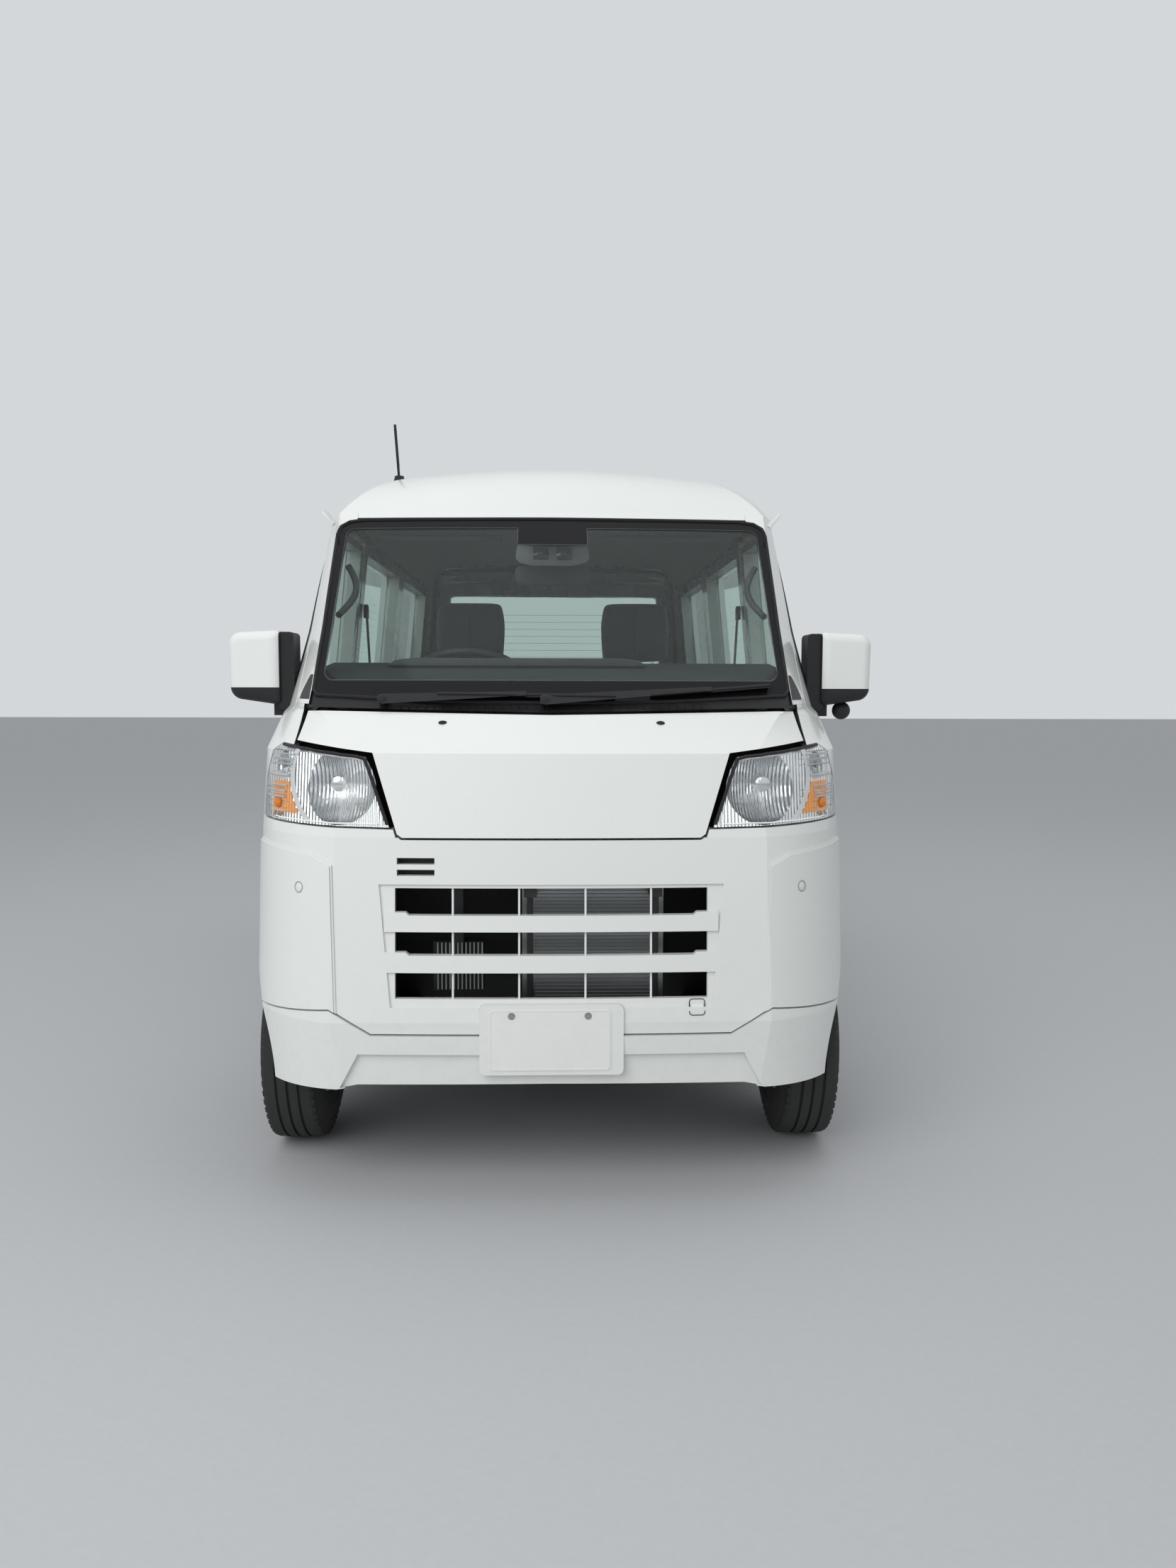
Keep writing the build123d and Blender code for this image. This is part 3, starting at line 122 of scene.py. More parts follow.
class NodeBench:
    """Lays out the nodes of one material around a Principled shader."""

    def __init__(self, name: str) -> None:
        """Starts an empty material.

        Args:
            name: The material's name.
        """
        self.material = bpy.data.materials.new(name)
        self.material.use_nodes = True
        self.tree = self.material.node_tree
        self.shader = self.tree.nodes["Principled BSDF"]
        self.place = self.tree.nodes.new("ShaderNodeTexCoord").outputs["Object"]

    def set(self, **values: float | tuple) -> None:
        """Sets the shader's own sockets; an underscore stands for a space."""
        for name, value in values.items():
            socket = self.shader.inputs[name.replace("_", " ")]
            if isinstance(value, tuple) and len(value) == 3 and socket.type == "RGBA":
                value = (*value, 1.0)
            socket.default_value = value

    def wire(self, source: Socket, name: str) -> None:
        """Links a socket to the shader's input of that name."""
        self.tree.links.new(source, self.shader.inputs[name])

    def link(self, value: Socket | float | tuple, target: Socket) -> None:
        """Links a socket, or sets a plain value."""
        if isinstance(value, bpy.types.NodeSocket):
            self.tree.links.new(value, target)
        elif isinstance(value, tuple) and target.type == "RGBA":
            target.default_value = (*value[:3], 1.0)
        else:
            target.default_value = value

    def mapped(self, scale: Point = (1, 1, 1), shift: Point = (0, 0, 0), turn: Point = (0, 0, 0)) -> Socket:
        """Returns the object coordinates moved, turned and scaled."""
        node = self.tree.nodes.new("ShaderNodeMapping")
        node.inputs["Location"].default_value = shift
        node.inputs["Rotation"].default_value = turn
        node.inputs["Scale"].default_value = scale
        self.tree.links.new(self.place, node.inputs["Vector"])
        return node.outputs["Vector"]

    def axis(self, letter: str, source: Socket | None = None) -> Socket:
        """Returns one coordinate of a vector, the object's own by default."""
        node = self.tree.nodes.new("ShaderNodeSeparateXYZ")
        self.tree.links.new(source or self.place, node.inputs[0])
        return node.outputs[letter]

    def noise(
        self, scale: float, detail: float = 2.0, rough: float = 0.5, at: Socket | None = None
    ) -> Socket:
        """Returns a noise value at that scale."""
        node = self.tree.nodes.new("ShaderNodeTexNoise")
        node.inputs["Scale"].default_value = scale
        node.inputs["Detail"].default_value = detail
        node.inputs["Roughness"].default_value = rough
        self.tree.links.new(at or self.place, node.inputs["Vector"])
        return node.outputs["Fac"]

    def wave(self, scale: float, direction: str, at: Socket | None = None, profile: str = "SIN") -> Socket:
        """Returns parallel bands along an axis."""
        node = self.tree.nodes.new("ShaderNodeTexWave")
        node.bands_direction = direction
        node.wave_profile = profile
        node.inputs["Scale"].default_value = scale
        self.tree.links.new(at or self.place, node.inputs["Vector"])
        return node.outputs["Fac"]

    def cells(self, scale: float, at: Socket | None = None) -> Socket:
        """Returns the distance to the nearest cell's point, as in a pebbled grain."""
        node = self.tree.nodes.new("ShaderNodeTexVoronoi")
        node.inputs["Scale"].default_value = scale
        self.tree.links.new(at or self.place, node.inputs["Vector"])
        return node.outputs["Distance"]

    def sum(self, operation: str, a: Socket | float, b: Socket | float = 0.0) -> Socket:
        """Returns a Math node's value."""
        node = self.tree.nodes.new("ShaderNodeMath")
        node.operation = operation
        self.link(a, node.inputs[0])
        self.link(b, node.inputs[1])
        return node.outputs[0]

    def step(self, value: Socket, low: float, high: float, start: float = 0.0, end: float = 1.0) -> Socket:
        """Returns the value stretched from low..high to start..end and clamped."""
        node = self.tree.nodes.new("ShaderNodeMapRange")
        self.link(value, node.inputs["Value"])
        for name, number in zip(("From Min", "From Max", "To Min", "To Max"), (low, high, start, end)):
            node.inputs[name].default_value = number
        return node.outputs["Result"]

    def mix(self, share: Socket | float, a: Socket | tuple, b: Socket | tuple) -> Socket:
        """Returns colour a changing to colour b with the share."""
        node = self.tree.nodes.new("ShaderNodeMix")
        node.data_type = "RGBA"
        self.link(share, node.inputs[0])
        self.link(a, node.inputs[6])
        self.link(b, node.inputs[7])
        return node.outputs[2]

    def bump(self, height: Socket, distance: float, strength: float = 1.0) -> None:
        """Roughens the surface by a height in metres."""
        node = self.tree.nodes.new("ShaderNodeBump")
        node.inputs["Strength"].default_value = strength
        node.inputs["Distance"].default_value = distance
        self.tree.links.new(height, node.inputs["Height"])
        self.tree.links.new(node.outputs["Normal"], self.shader.inputs["Normal"])


@dataclass(frozen=True)
class Finish:
    """A surface finish; a subclass draws it in draw()."""

    name: str
    colour: Colour
    slot: str
    roughness: float = 0.5

    def draw(self, bench: NodeBench) -> None:
        """Adds this finish's nodes to the bench."""
        raise NotImplementedError

    def material(self) -> bpy.types.Material:
        """Returns the material, made on first use."""
        found = bpy.data.materials.get(self.name)
        if found:
            return found
        bench = NodeBench(self.name)
        bench.set(Base_Color=self.colour, Roughness=self.roughness)
        self.draw(bench)
        return bench.material


@dataclass(frozen=True)
class Paint(Finish):
    """Gloss body paint with a little road dust low down."""

    coat: float = 0.5
    dust: float = 0.25
    lined: bool = False
    lining_z: float = 0.66

    def draw(self, bench: NodeBench) -> None:
        """Draws faint colour drift, dust near the ground, the cabin's dark grey lining with painted shade
        inside the cabin, and orange peel.
        """
        bench.set(Coat_Weight=self.coat, Coat_Roughness=0.06)
        drift = bench.step(bench.noise(1.7, 3.0), 0.35, 0.65)
        tone = bench.mix(drift, self.colour, tuple(c * 0.975 for c in self.colour))
        low = bench.step(bench.axis("Z"), 0.75, 0.2, 0.0, self.dust)
        speck = bench.sum("MULTIPLY", low, bench.step(bench.noise(38.0, 5.0, 0.7), 0.45, 0.75))
        tone = bench.mix(speck, tone, ROAD_DUST)
        # Painted shade: cabin-facing faces above the lining height go dark grey, partly as lining and partly
        # as the cabin's shade.
        if self.lined:
            inside = bench.tree.nodes.new("ShaderNodeAttribute")
            inside.attribute_name = "inside"
            above = bench.step(bench.axis("Z"), self.lining_z - 0.0005, self.lining_z + 0.0005)
            lined = bench.sum("MULTIPLY", inside.outputs["Fac"], above)
            tone = bench.mix(lined, tone, LINING_AND_SHADE_GREY)
        bench.wire(tone, "Base Color")
        bench.wire(
            bench.step(bench.noise(9.0, 3.0), 0.3, 0.7, self.roughness, self.roughness + 0.07), "Roughness")
        bench.bump(bench.noise(420.0, 1.0), 0.00002, 0.35)


@dataclass(frozen=True)
class Moulded(Finish):
    """Moulded plastic with a pebbled grain."""

    grain: float = 900.0
    depth: float = 0.00012

    def draw(self, bench: NodeBench) -> None:
        """Draws the grain, worn paler patches and uneven gloss."""
        wear = bench.step(bench.noise(14.0, 4.0, 0.6), 0.5, 0.78, 0.0, 0.35)
        worn = tuple(min(1.0, c * 1.5 + 0.012) for c in self.colour)
        bench.wire(bench.mix(wear, self.colour, worn), "Base Color")
        bench.wire(bench.step(wear, 0.0, 0.35, self.roughness, self.roughness + 0.12), "Roughness")
        bench.bump(bench.cells(self.grain), self.depth, 0.5)


@dataclass(frozen=True)
class Metal(Finish):
    """Bare or plated metal, dull or polished."""

    metallic: float = 1.0
    grime: float = 0.3
    streak: Point = (1, 1, 1)

    def draw(self, bench: NodeBench) -> None:
        """Draws grime in patches and fine uneven polish."""
        bench.set(Metallic=self.metallic)
        at = bench.mapped(self.streak)
        patch = bench.step(bench.noise(16.0, 5.0, 0.65, at), 0.42, 0.75, 0.0, self.grime)
        dull = tuple(c * 0.45 for c in self.colour)
        bench.wire(bench.mix(patch, self.colour, dull), "Base Color")
        fine = bench.noise(240.0, 3.0, 0.6, at)
        bench.wire(bench.step(fine, 0.2, 0.8, self.roughness * 0.8, self.roughness * 1.25), "Roughness")
        bench.bump(fine, 0.00008, 0.3)


@dataclass(frozen=True)
class Casting(Finish):
    """Cast or rusted metal with a rough skin."""

    rust: Colour = (0.16, 0.07, 0.03)
    amount: float = 0.4

    def draw(self, bench: NodeBench) -> None:
        """Draws rust in blotches over a coarse cast skin."""
        bench.set(Metallic=0.6)
        blotch = bench.step(bench.noise(22.0, 6.0, 0.7), 0.45, 0.7, 0.0, self.amount)
        bench.wire(bench.mix(blotch, self.colour, self.rust), "Base Color")
        bench.wire(bench.step(blotch, 0.0, 0.4, self.roughness, 0.85), "Roughness")
        bench.bump(bench.noise(320.0, 4.0, 0.7), 0.0004, 0.6)


@dataclass(frozen=True)
class Rubber(Finish):
    """Black rubber with pale road dust."""

    dust: float = 0.3

    def draw(self, bench: NodeBench) -> None:
        """Draws dust in a fine mottle and a slight skin texture."""
        patch = bench.step(bench.noise(26.0, 6.0, 0.75), 0.45, 0.8, 0.0, self.dust)
        bench.wire(bench.mix(patch, self.colour, (0.13, 0.125, 0.115)), "Base Color")
        bench.wire(bench.step(patch, 0.0, 0.3, self.roughness, 0.9), "Roughness")
        bench.bump(bench.noise(520.0, 3.0, 0.6), 0.0002, 0.5)


@dataclass(frozen=True)
class Cloth(Finish):
    """Woven seat cloth."""

    thread: float = 900.0

    def draw(self, bench: NodeBench) -> None:
        """Draws crossed threads, flecks and a soft sheen."""
        bench.set(Sheen_Weight=0.35, Sheen_Roughness=0.5)
        across = bench.wave(self.thread / FULL_TURN, "X")
        along = bench.wave(self.thread / FULL_TURN, "Z")
        deep = bench.wave(self.thread / FULL_TURN, "Y")
        weave = bench.sum(
            "MAXIMUM", bench.sum("MULTIPLY", across, along), bench.sum("MULTIPLY", across, deep))
        fleck = bench.step(bench.noise(210.0, 3.0, 0.7), 0.5, 0.72)
        light = tuple(min(1.0, c * 1.9 + 0.01) for c in self.colour)
        tone = bench.mix(bench.sum("MULTIPLY", fleck, 0.6), self.colour, light)
        bench.wire(
            bench.mix(bench.step(bench.noise(5.0, 3.0), 0.35, 0.7, 0.0, 0.25), tone, self.colour),
            "Base Color")
        bench.bump(weave, 0.0003, 0.35)


@dataclass(frozen=True)
class Glass(Finish):
    """Tinted window glass, clear enough to look through."""

    tint: Colour = (0.78, 0.86, 0.83)
    density: float = 1.28

    def draw(self, bench: NodeBench) -> None:
        """Draws a thin film of dust over clear tinted glass."""
        bench.set(Transmission_Weight=1.0, IOR=self.density, Base_Color=self.tint)
        film = bench.step(bench.noise(7.0, 5.0, 0.65), 0.35, 0.8, 0.0, 0.03)
        bench.wire(film, "Roughness")


@dataclass(frozen=True)
class Screen(Glass):
    """Windshield glass with its black ceramic border and shade band."""

    half_low: float = 0.579
    half_top: float = 0.587
    low: float = 1.207
    high: float = 1.641
    corner: float = 0.026

    def draw(self, bench: NodeBench) -> None:
        """Draws the border by the distance to a rounded, tapered outline."""
        super().draw(bench)
        mid = (self.low + self.high) / 2
        tall = (self.high - self.low) / 2 - self.corner
        height = bench.axis("Z")
        slope = (self.half_top - self.half_low) / (self.high - self.low)
        half = bench.sum(
            "ADD", bench.sum("MULTIPLY", height, slope), self.half_low - slope * self.low - self.corner)
        out_x = bench.sum("MAXIMUM", bench.sum("SUBTRACT", bench.sum("ABSOLUTE", bench.axis("X")), half), 0.0)
        rise = bench.sum("ABSOLUTE", bench.sum("SUBTRACT", height, mid))
        out_z = bench.sum("MAXIMUM", bench.sum("SUBTRACT", rise, tall), 0.0)
        square = bench.sum("ADD", bench.sum("POWER", out_x, 2.0), bench.sum("POWER", out_z, 2.0))
        beyond = bench.sum("SUBTRACT", bench.sum("SQRT", square), self.corner)
        near_mirror = bench.sum("SUBTRACT", 0.098, bench.sum("ABSOLUTE", bench.axis("X")))
        patch = bench.sum("MINIMUM", near_mirror, bench.sum("SUBTRACT", height, 1.588))
        black = bench.step(bench.sum("MAXIMUM", beyond, patch), -0.0004, 0.0004)
        bench.wire(bench.mix(black, self.tint, (0.012, 0.012, 0.013)), "Base Color")
        bench.wire(bench.sum("SUBTRACT", 1.0, black), "Transmission Weight")


@dataclass(frozen=True)
class Flat(Finish):
    """A lamp's clear or coloured moulding, or a mirror's silver."""

    metallic: float = 0.0
    clear: float = 0.0
    glow: float = 0.0
    flute: float = 0.0

    def draw(self, bench: NodeBench) -> None:
        """Draws even colour with faint cloudiness, optional flutes and an optional painted glow that makes
        unlit lamp parts look lit.
        """
        bench.set(Metallic=self.metallic, Transmission_Weight=self.clear, IOR=1.49)
        # Painted glow: emission makes an unlit lamp part look lit.
        if self.glow:
            bench.set(Emission_Color=self.colour, Emission_Strength=self.glow)
        cloud = bench.step(bench.noise(12.0, 4.0, 0.6), 0.35, 0.75, 0.0, 0.25)
        bench.wire(bench.mix(cloud, self.colour, tuple(c * 0.86 for c in self.colour)), "Base Color")
        bench.wire(bench.step(cloud, 0.0, 0.25, self.roughness, self.roughness + 0.05), "Roughness")
        if self.flute:
            bench.bump(bench.wave(self.flute / FULL_TURN, "X"), 0.0022, 1.0)


@dataclass(frozen=True)
class MirrorCap(Paint):
    """White mirror cap on a black grained shell."""

    edge_x: float = 0.739
    edge_z: float = 1.188
    rear: float = 0.648

    def draw(self, bench: NodeBench) -> None:
        """Draws the paint, and black where the shell shows."""
        super().draw(bench)
        inner = bench.sum("SUBTRACT", self.edge_x, bench.sum("ABSOLUTE", bench.axis("X")))
        under = bench.sum("SUBTRACT", self.edge_z, bench.axis("Z"))
        behind = bench.sum("SUBTRACT", bench.axis("Y"), nose(self.rear))
        shell = bench.sum("MAXIMUM", bench.sum("MAXIMUM", inner, under), behind)
        black = bench.step(shell, -0.0004, 0.0004)
        bench.wire(bench.mix(black, self.colour, (0.016, 0.016, 0.018)), "Base Color")
        bench.wire(bench.step(black, 0.0, 1.0, self.roughness, 0.5), "Roughness")
        bench.wire(bench.step(black, 0.0, 1.0, self.coat, 0.0), "Coat Weight")


@dataclass(frozen=True)
class Pan(Metal):
    """Grey floor paint, with black underseal below and in the wheel houses."""

    house: float = 0.3485
    axle_z: float = 0.268

    def draw(self, bench: NodeBench) -> None:
        """Draws the paint, then the underseal by place."""
        super().draw(bench)
        y, z = bench.axis("Y"), bench.axis("Z")
        parts = [
            bench.step(y, nose(0.346), nose(0.344)),
            bench.step(z, 0.3965, 0.3955),
            bench.sum("MULTIPLY", bench.step(z, 0.641, 0.639), bench.step(y, nose(0.977), nose(0.979))),
        ]
        for axle in Axle:
            along = bench.sum("POWER", bench.sum("SUBTRACT", y, nose(axle.value)), 2.0)
            up = bench.sum("POWER", bench.sum("SUBTRACT", z, self.axle_z), 2.0)
            square = bench.sum("ADD", along, up)
            parts.append(bench.step(bench.sum("SQRT", square), self.house + 0.0005, self.house - 0.0005))
        sealed = parts[0]
        for part in parts[1:]:
            sealed = bench.sum("MAXIMUM", sealed, part)
        grey = bench.mix(bench.noise(12.0, 4.0), self.colour, tuple(c * 0.8 for c in self.colour))
        bench.wire(bench.mix(sealed, grey, (0.018, 0.018, 0.019)), "Base Color")


@dataclass(frozen=True)
class TailLens(Finish):
    """Tail lamp moulding: red on top, amber in the middle, clear at the foot."""

    amber_top: float = 0.795
    clear_top: float = 0.700

    def draw(self, bench: NodeBench) -> None:
        """Draws the three fields and fine pyramids."""
        bench.set(IOR=1.49, Transmission_Weight=0.15)
        z = bench.axis("Z")
        amber = bench.step(z, self.amber_top + 0.0004, self.amber_top - 0.0004)
        clear = bench.step(z, self.clear_top + 0.0004, self.clear_top - 0.0004)
        tone = bench.mix(amber, self.colour, (0.80, 0.22, 0.015))
        bench.wire(bench.mix(clear, tone, (0.62, 0.64, 0.65)), "Base Color")
        bench.bump(bench.sum("ADD", bench.wave(38.0, "X"), bench.wave(38.0, "Z")), 0.0006, 0.6)


WHITE_PAINT = Paint("white_body_paint", (0.80, 0.825, 0.80), "white_paint", 0.24, lined=True)
WHITE_BUMPER = Paint("white_bumper_paint", (0.79, 0.81, 0.785), "white_bumper", 0.28, dust=0.12)
MIRROR_WHITE = MirrorCap("mirror_cap_paint", (0.80, 0.82, 0.80), "mirror_shell", 0.22, dust=0.0)
BLACK_GRAIN = Moulded("black_grained_plastic", (0.016, 0.016, 0.018), "black_plastic", 0.48)
DASH_GRAIN = Moulded("dash_grained_plastic", (0.045, 0.048, 0.052), "dash_plastic", 0.62, 700.0)
GREY_TRIM = Moulded("grey_cabin_trim", (0.34, 0.35, 0.35), "body_primer", 0.7, 600.0)
TANK_PLASTIC = Moulded("tank_plastic", (0.028, 0.028, 0.03), "tank_plastic", 0.5)
SCREEN_GLASS = Screen("windshield_glass", (0.8, 0.87, 0.84), "screen_glass", 0.02)
SIDE_GLASS = Glass("side_window_glass", (0.7, 0.8, 0.77), "side_glass", 0.02, tint=(0.62, 0.72, 0.69))
LAMP_LENS = Flat("clear_lamp_lens", (0.97, 0.985, 0.98), "lamp_lens", 0.02, clear=1.0)
LAMP_CHROME = Flat("metallised_bowl", (0.86, 0.87, 0.88), "lamp_chrome", 0.13, metallic=1.0)
TAIL_RED = Flat("red_tail_lens", (0.5, 0.012, 0.012), "tail_lens", 0.08, clear=0.25)
FLOOR_PAINT = Pan("floor_paint", (0.30, 0.31, 0.31), "body_primer", 0.6, metallic=0.0, grime=0.2)
TAIL_LENS = TailLens("tail_lamp_lens", (0.48, 0.012, 0.012), "tail_lens", 0.1)
BOWL_CHROME = Flat("fluted_lamp_bowl", (0.88, 0.89, 0.90), "lamp_chrome", 0.07, metallic=1.0, flute=240.0)
CHASSIS_BLACK = Metal("chassis_black", (0.03, 0.03, 0.031), "chassis_black", 0.5, metallic=0.0, grime=0.5)
RADIATOR_ALLOY = Metal("radiator_alloy", (0.16, 0.165, 0.17), "radiator_alloy", 0.5, metallic=0.7)
IRON = Casting("cast_iron", (0.13, 0.125, 0.12), "cast_iron", 0.6)
SHAFT_STEEL = Casting("driveline_steel", (0.24, 0.24, 0.25), "driveline_steel", 0.45, amount=0.2)
EXHAUST_STEEL = Casting("exhaust_steel", (0.36, 0.34, 0.32), "exhaust_steel", 0.42, amount=0.35)
SEAT_CLOTH = Cloth("dark_seat_cloth", (0.05, 0.054, 0.06), "seat_cloth", 0.9)
TYRE_RUBBER = Rubber("tyre_rubber", (0.018, 0.018, 0.019), "tyre_rubber", 0.72)
SEAL_RUBBER = Rubber("seal_rubber", (0.012, 0.012, 0.013), "black_plastic", 0.6, 0.1)
RIM_SILVER = Metal("rim_silver_paint", (0.55, 0.56, 0.57), "rim_silver", 0.35, metallic=0.55, grime=0.2)
PLATE_WHITE = Paint("blank_plate_white", (0.82, 0.82, 0.80), "white_paint", 0.35, coat=0.1, dust=0.1)
BOLT_STEEL = Metal("bolt_steel", (0.5, 0.49, 0.46), "driveline_steel", 0.3)
BULB_GLASS = Flat("bulb_glass", (0.9, 0.93, 0.95), "lamp_lens", 0.04, clear=0.85)
# The signal panel and the pale ring glow faintly: painted light on unlit lamp parts.
AMBER_PANEL = Flat("amber_signal_panel", (0.92, 0.40, 0.10), "tail_lens", 0.18, glow=0.22, flute=240.0)
AMBER = Flat("amber_signal", (0.85, 0.26, 0.02), "tail_lens", 0.12, clear=0.3)
RING_PAINTED_GLOW = Flat("pale_lamp_ring", (0.86, 0.87, 0.88), "lamp_chrome", 0.22, glow=0.12)
CAMERA_GREY = Moulded("camera_unit_grey", (0.20, 0.205, 0.21), "dash_plastic", 0.5)
CAMERA_BLACK = Flat("camera_window_black", (0.01, 0.01, 0.012), "black_plastic", 0.08)
MIRROR_SILVER = Flat("mirror_silver", (0.82, 0.84, 0.85), "lamp_chrome", 0.02, metallic=1.0)
HEADLINER_CLOTH = Moulded("grey_headliner", (0.12, 0.125, 0.125), "body_primer", 0.95, 500.0)
TRIM_DARK = Moulded("dark_cabin_trim", (0.10, 0.105, 0.11), "dash_plastic", 0.65, 600.0)
BELT_WEB = Cloth("belt_webbing", (0.03, 0.03, 0.033), "seat_cloth", 0.8, 1600.0)
SEAM_THREAD = Cloth("seam_piping", (0.025, 0.027, 0.03), "seat_cloth", 0.85, 1500.0)
RIB_CLEAR = Flat("moulded_lens_ribs", (0.86, 0.9, 0.92), "lamp_lens", 0.1, clear=0.6)

NODE_FINISHES: dict[Finish, tuple[str, ...]] = {
    WHITE_PAINT: (
        "body_sides", "fenders", "roof", "bonnet", "tailgate", "door_left", "door_right", "sliding_doors"),
    WHITE_BUMPER: ("bumper_face", "bumper_skirt", "rear_bumper"),
    MIRROR_WHITE: ("mirror_left", "mirror_right"),
    BLACK_GRAIN: ("cowl_cover", "wipers", "horn", "aerial", "steering_wheel"),
    DASH_GRAIN: ("dashboard",),
    TANK_PLASTIC: ("fuel_tank",),
    SCREEN_GLASS: ("windshield",),
    SIDE_GLASS: ("side_glass", "door_glass_left", "door_glass_right", "tailgate_glass"),
    LAMP_LENS: ("headlamp_lenses",),
    BOWL_CHROME: ("headlamps",),
    TAIL_LENS: ("tail_lamps",),
    FLOOR_PAINT: ("floor_pan",),
    CHASSIS_BLACK: ("underframe", "front_structure", "lower_arms"),
    RADIATOR_ALLOY: ("radiator",),
    IRON: ("knuckle_left", "knuckle_right", "engine", "rear_axle"),
    SHAFT_STEEL: ("driveline", "front_drive"),
    EXHAUST_STEEL: ("exhaust",),
    SEAT_CLOTH: ("seat_cushions", "seat_backs"),
    TYRE_RUBBER: ("tyre_front_left", "tyre_front_right", "tyre_rear_left", "tyre_rear_right"),
    RIM_SILVER: ("rim_front_left", "rim_front_right", "rim_rear_left", "rim_rear_right"),
}


def dress_nodes(nodes: dict[str, bpy.types.Object]) -> None:
    """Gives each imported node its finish.

    Args:
        nodes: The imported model's objects by name.
    """
    for finish, names in NODE_FINISHES.items():
        for name in names:
            slots = nodes[name].data.materials
            slots.clear()
            slots.append(finish.material())
            if finish is WHITE_PAINT:
                mark_inside(nodes[name])


def mark_inside(shape: bpy.types.Object) -> None:
    """Marks the faces that look into the cabin, which the paint turns dark grey as lining and painted shade.

    Args:
        shape: A painted node.
    """
    heart_z, front, back = 1.10, nose(0.50), nose(3.10)
    least_facing, most_outward = 0.25, 0.15
    mark = shape.data.attributes.new("inside", "FLOAT", "FACE")
    for face in shape.data.polygons:
        heart = Vector((0.0, min(max(face.center.y, front), back), heart_z))
        facing = (heart - face.center).normalized().dot(face.normal)
        outward = face.normal.x * face.center.x
        mark.data[face.index].value = 1.0 if facing > least_facing and outward < most_outward else 0.0


# --- studio


@dataclass
class Studio:
    """Camera, floor and lights."""

    camera_place: Point = (0.008, nose(-2.650), 1.193)
    camera_pitch: float = -4.74
    camera_yaw: float = -1.6
    camera_roll: float = 0.15
    lens: float = 27.05
    floor_half: float = 40.0
    floor_colour: Colour = (0.50, 0.51, 0.52)
    sky_colour: Colour = (0.80, 0.82, 0.84)
    sky_strength: float = 0.72

    def build(self) -> None:
        """Builds the camera, the floor, the sky and the soft lamps."""
        scene = bpy.context.scene
        scene.view_settings.view_transform = "Standard"
        camera = bpy.data.cameras.new("photo_camera")
        camera.lens = self.lens
        camera.sensor_width = 36.0
        camera.clip_start = 0.05
        camera.clip_end = 300.0
        holder = bpy.data.objects.new("photo_camera", camera)
        holder.location = self.camera_place
        turn = (
            Matrix.Rotation(math.radians(self.camera_yaw), 4, "Z")
            @ Matrix.Rotation(math.radians(90 + self.camera_pitch), 4, "X")
            @ Matrix.Rotation(math.radians(self.camera_roll), 4, "Z")
        )
        holder.rotation_euler = turn.to_euler()
        scene.collection.objects.link(holder)
        scene.camera = holder
        self.build_floor()
        self.build_sky()
        self.build_lamps()

    def build_floor(self) -> None:
        """Lays the plain pale floor."""
        mesh = bmesh.new()
        bmesh.ops.create_grid(mesh, x_segments=8, y_segments=8, size=self.floor_half)
        data = bpy.data.meshes.new("studio_floor")
        mesh.to_mesh(data)
        mesh.free()
        floor = bpy.data.objects.new("studio_floor", data)
        bpy.context.scene.collection.objects.link(floor)
        bench = NodeBench("studio_floor")
        bench.set(Roughness=0.9, Base_Color=self.floor_colour)
        grain = bench.step(bench.noise(60.0, 4.0, 0.7), 0.3, 0.7)
        near = tuple(c * 0.96 for c in self.floor_colour)
        bench.wire(bench.mix(grain, self.floor_colour, near), "Base Color")
        data.materials.append(bench.material)

    def build_sky(self) -> None:
        """Sets an even pale sky that the glass and chrome reflect."""
        world = bpy.data.worlds.new("studio_sky")
        bpy.context.scene.world = world
        world.use_nodes = True
        tree = world.node_tree
        back = tree.nodes["Background"]
        back.inputs["Color"].default_value = (*self.sky_colour, 1.0)
        back.inputs["Strength"].default_value = self.sky_strength
        shown = tree.nodes.new("ShaderNodeBackground")
        shown.inputs["Color"].default_value = (0.66, 0.68, 0.70, 1.0)
        path = tree.nodes.new("ShaderNodeLightPath")
        either = tree.nodes.new("ShaderNodeMath")
        either.operation = "MAXIMUM"
        tree.links.new(path.outputs["Is Camera Ray"], either.inputs[0])
        tree.links.new(path.outputs["Is Transmission Ray"], either.inputs[1])
        mix = tree.nodes.new("ShaderNodeMixShader")
        tree.links.new(either.outputs[0], mix.inputs[0])
        tree.links.new(back.outputs[0], mix.inputs[1])
        tree.links.new(shown.outputs[0], mix.inputs[2])
        tree.links.new(mix.outputs[0], tree.nodes["World Output"].inputs[0])

    def build_lamps(self) -> None:
        """Hangs two large soft lamps, one high in front and one behind."""
        for name, place, size, power in (
            ("front_soft_lamp", (-2.5, -5.5, 4.0), 5.0, 175.0),
            ("top_soft_lamp", (0.8, 0.4, 6.0), 6.0, 70.0),
        ):
            lamp = bpy.data.lights.new(name, "AREA")
            lamp.shape = "DISK"
            lamp.size = size
            lamp.energy = power
            holder = bpy.data.objects.new(name, lamp)
            holder.location = place
            holder.visible_glossy = False
            aim = Vector((0.0, 0.0, 0.8)) - Vector(place)
            holder.rotation_euler = aim.to_track_quat("-Z", "Y").to_euler()
            bpy.context.scene.collection.objects.link(holder)


# --- shaping


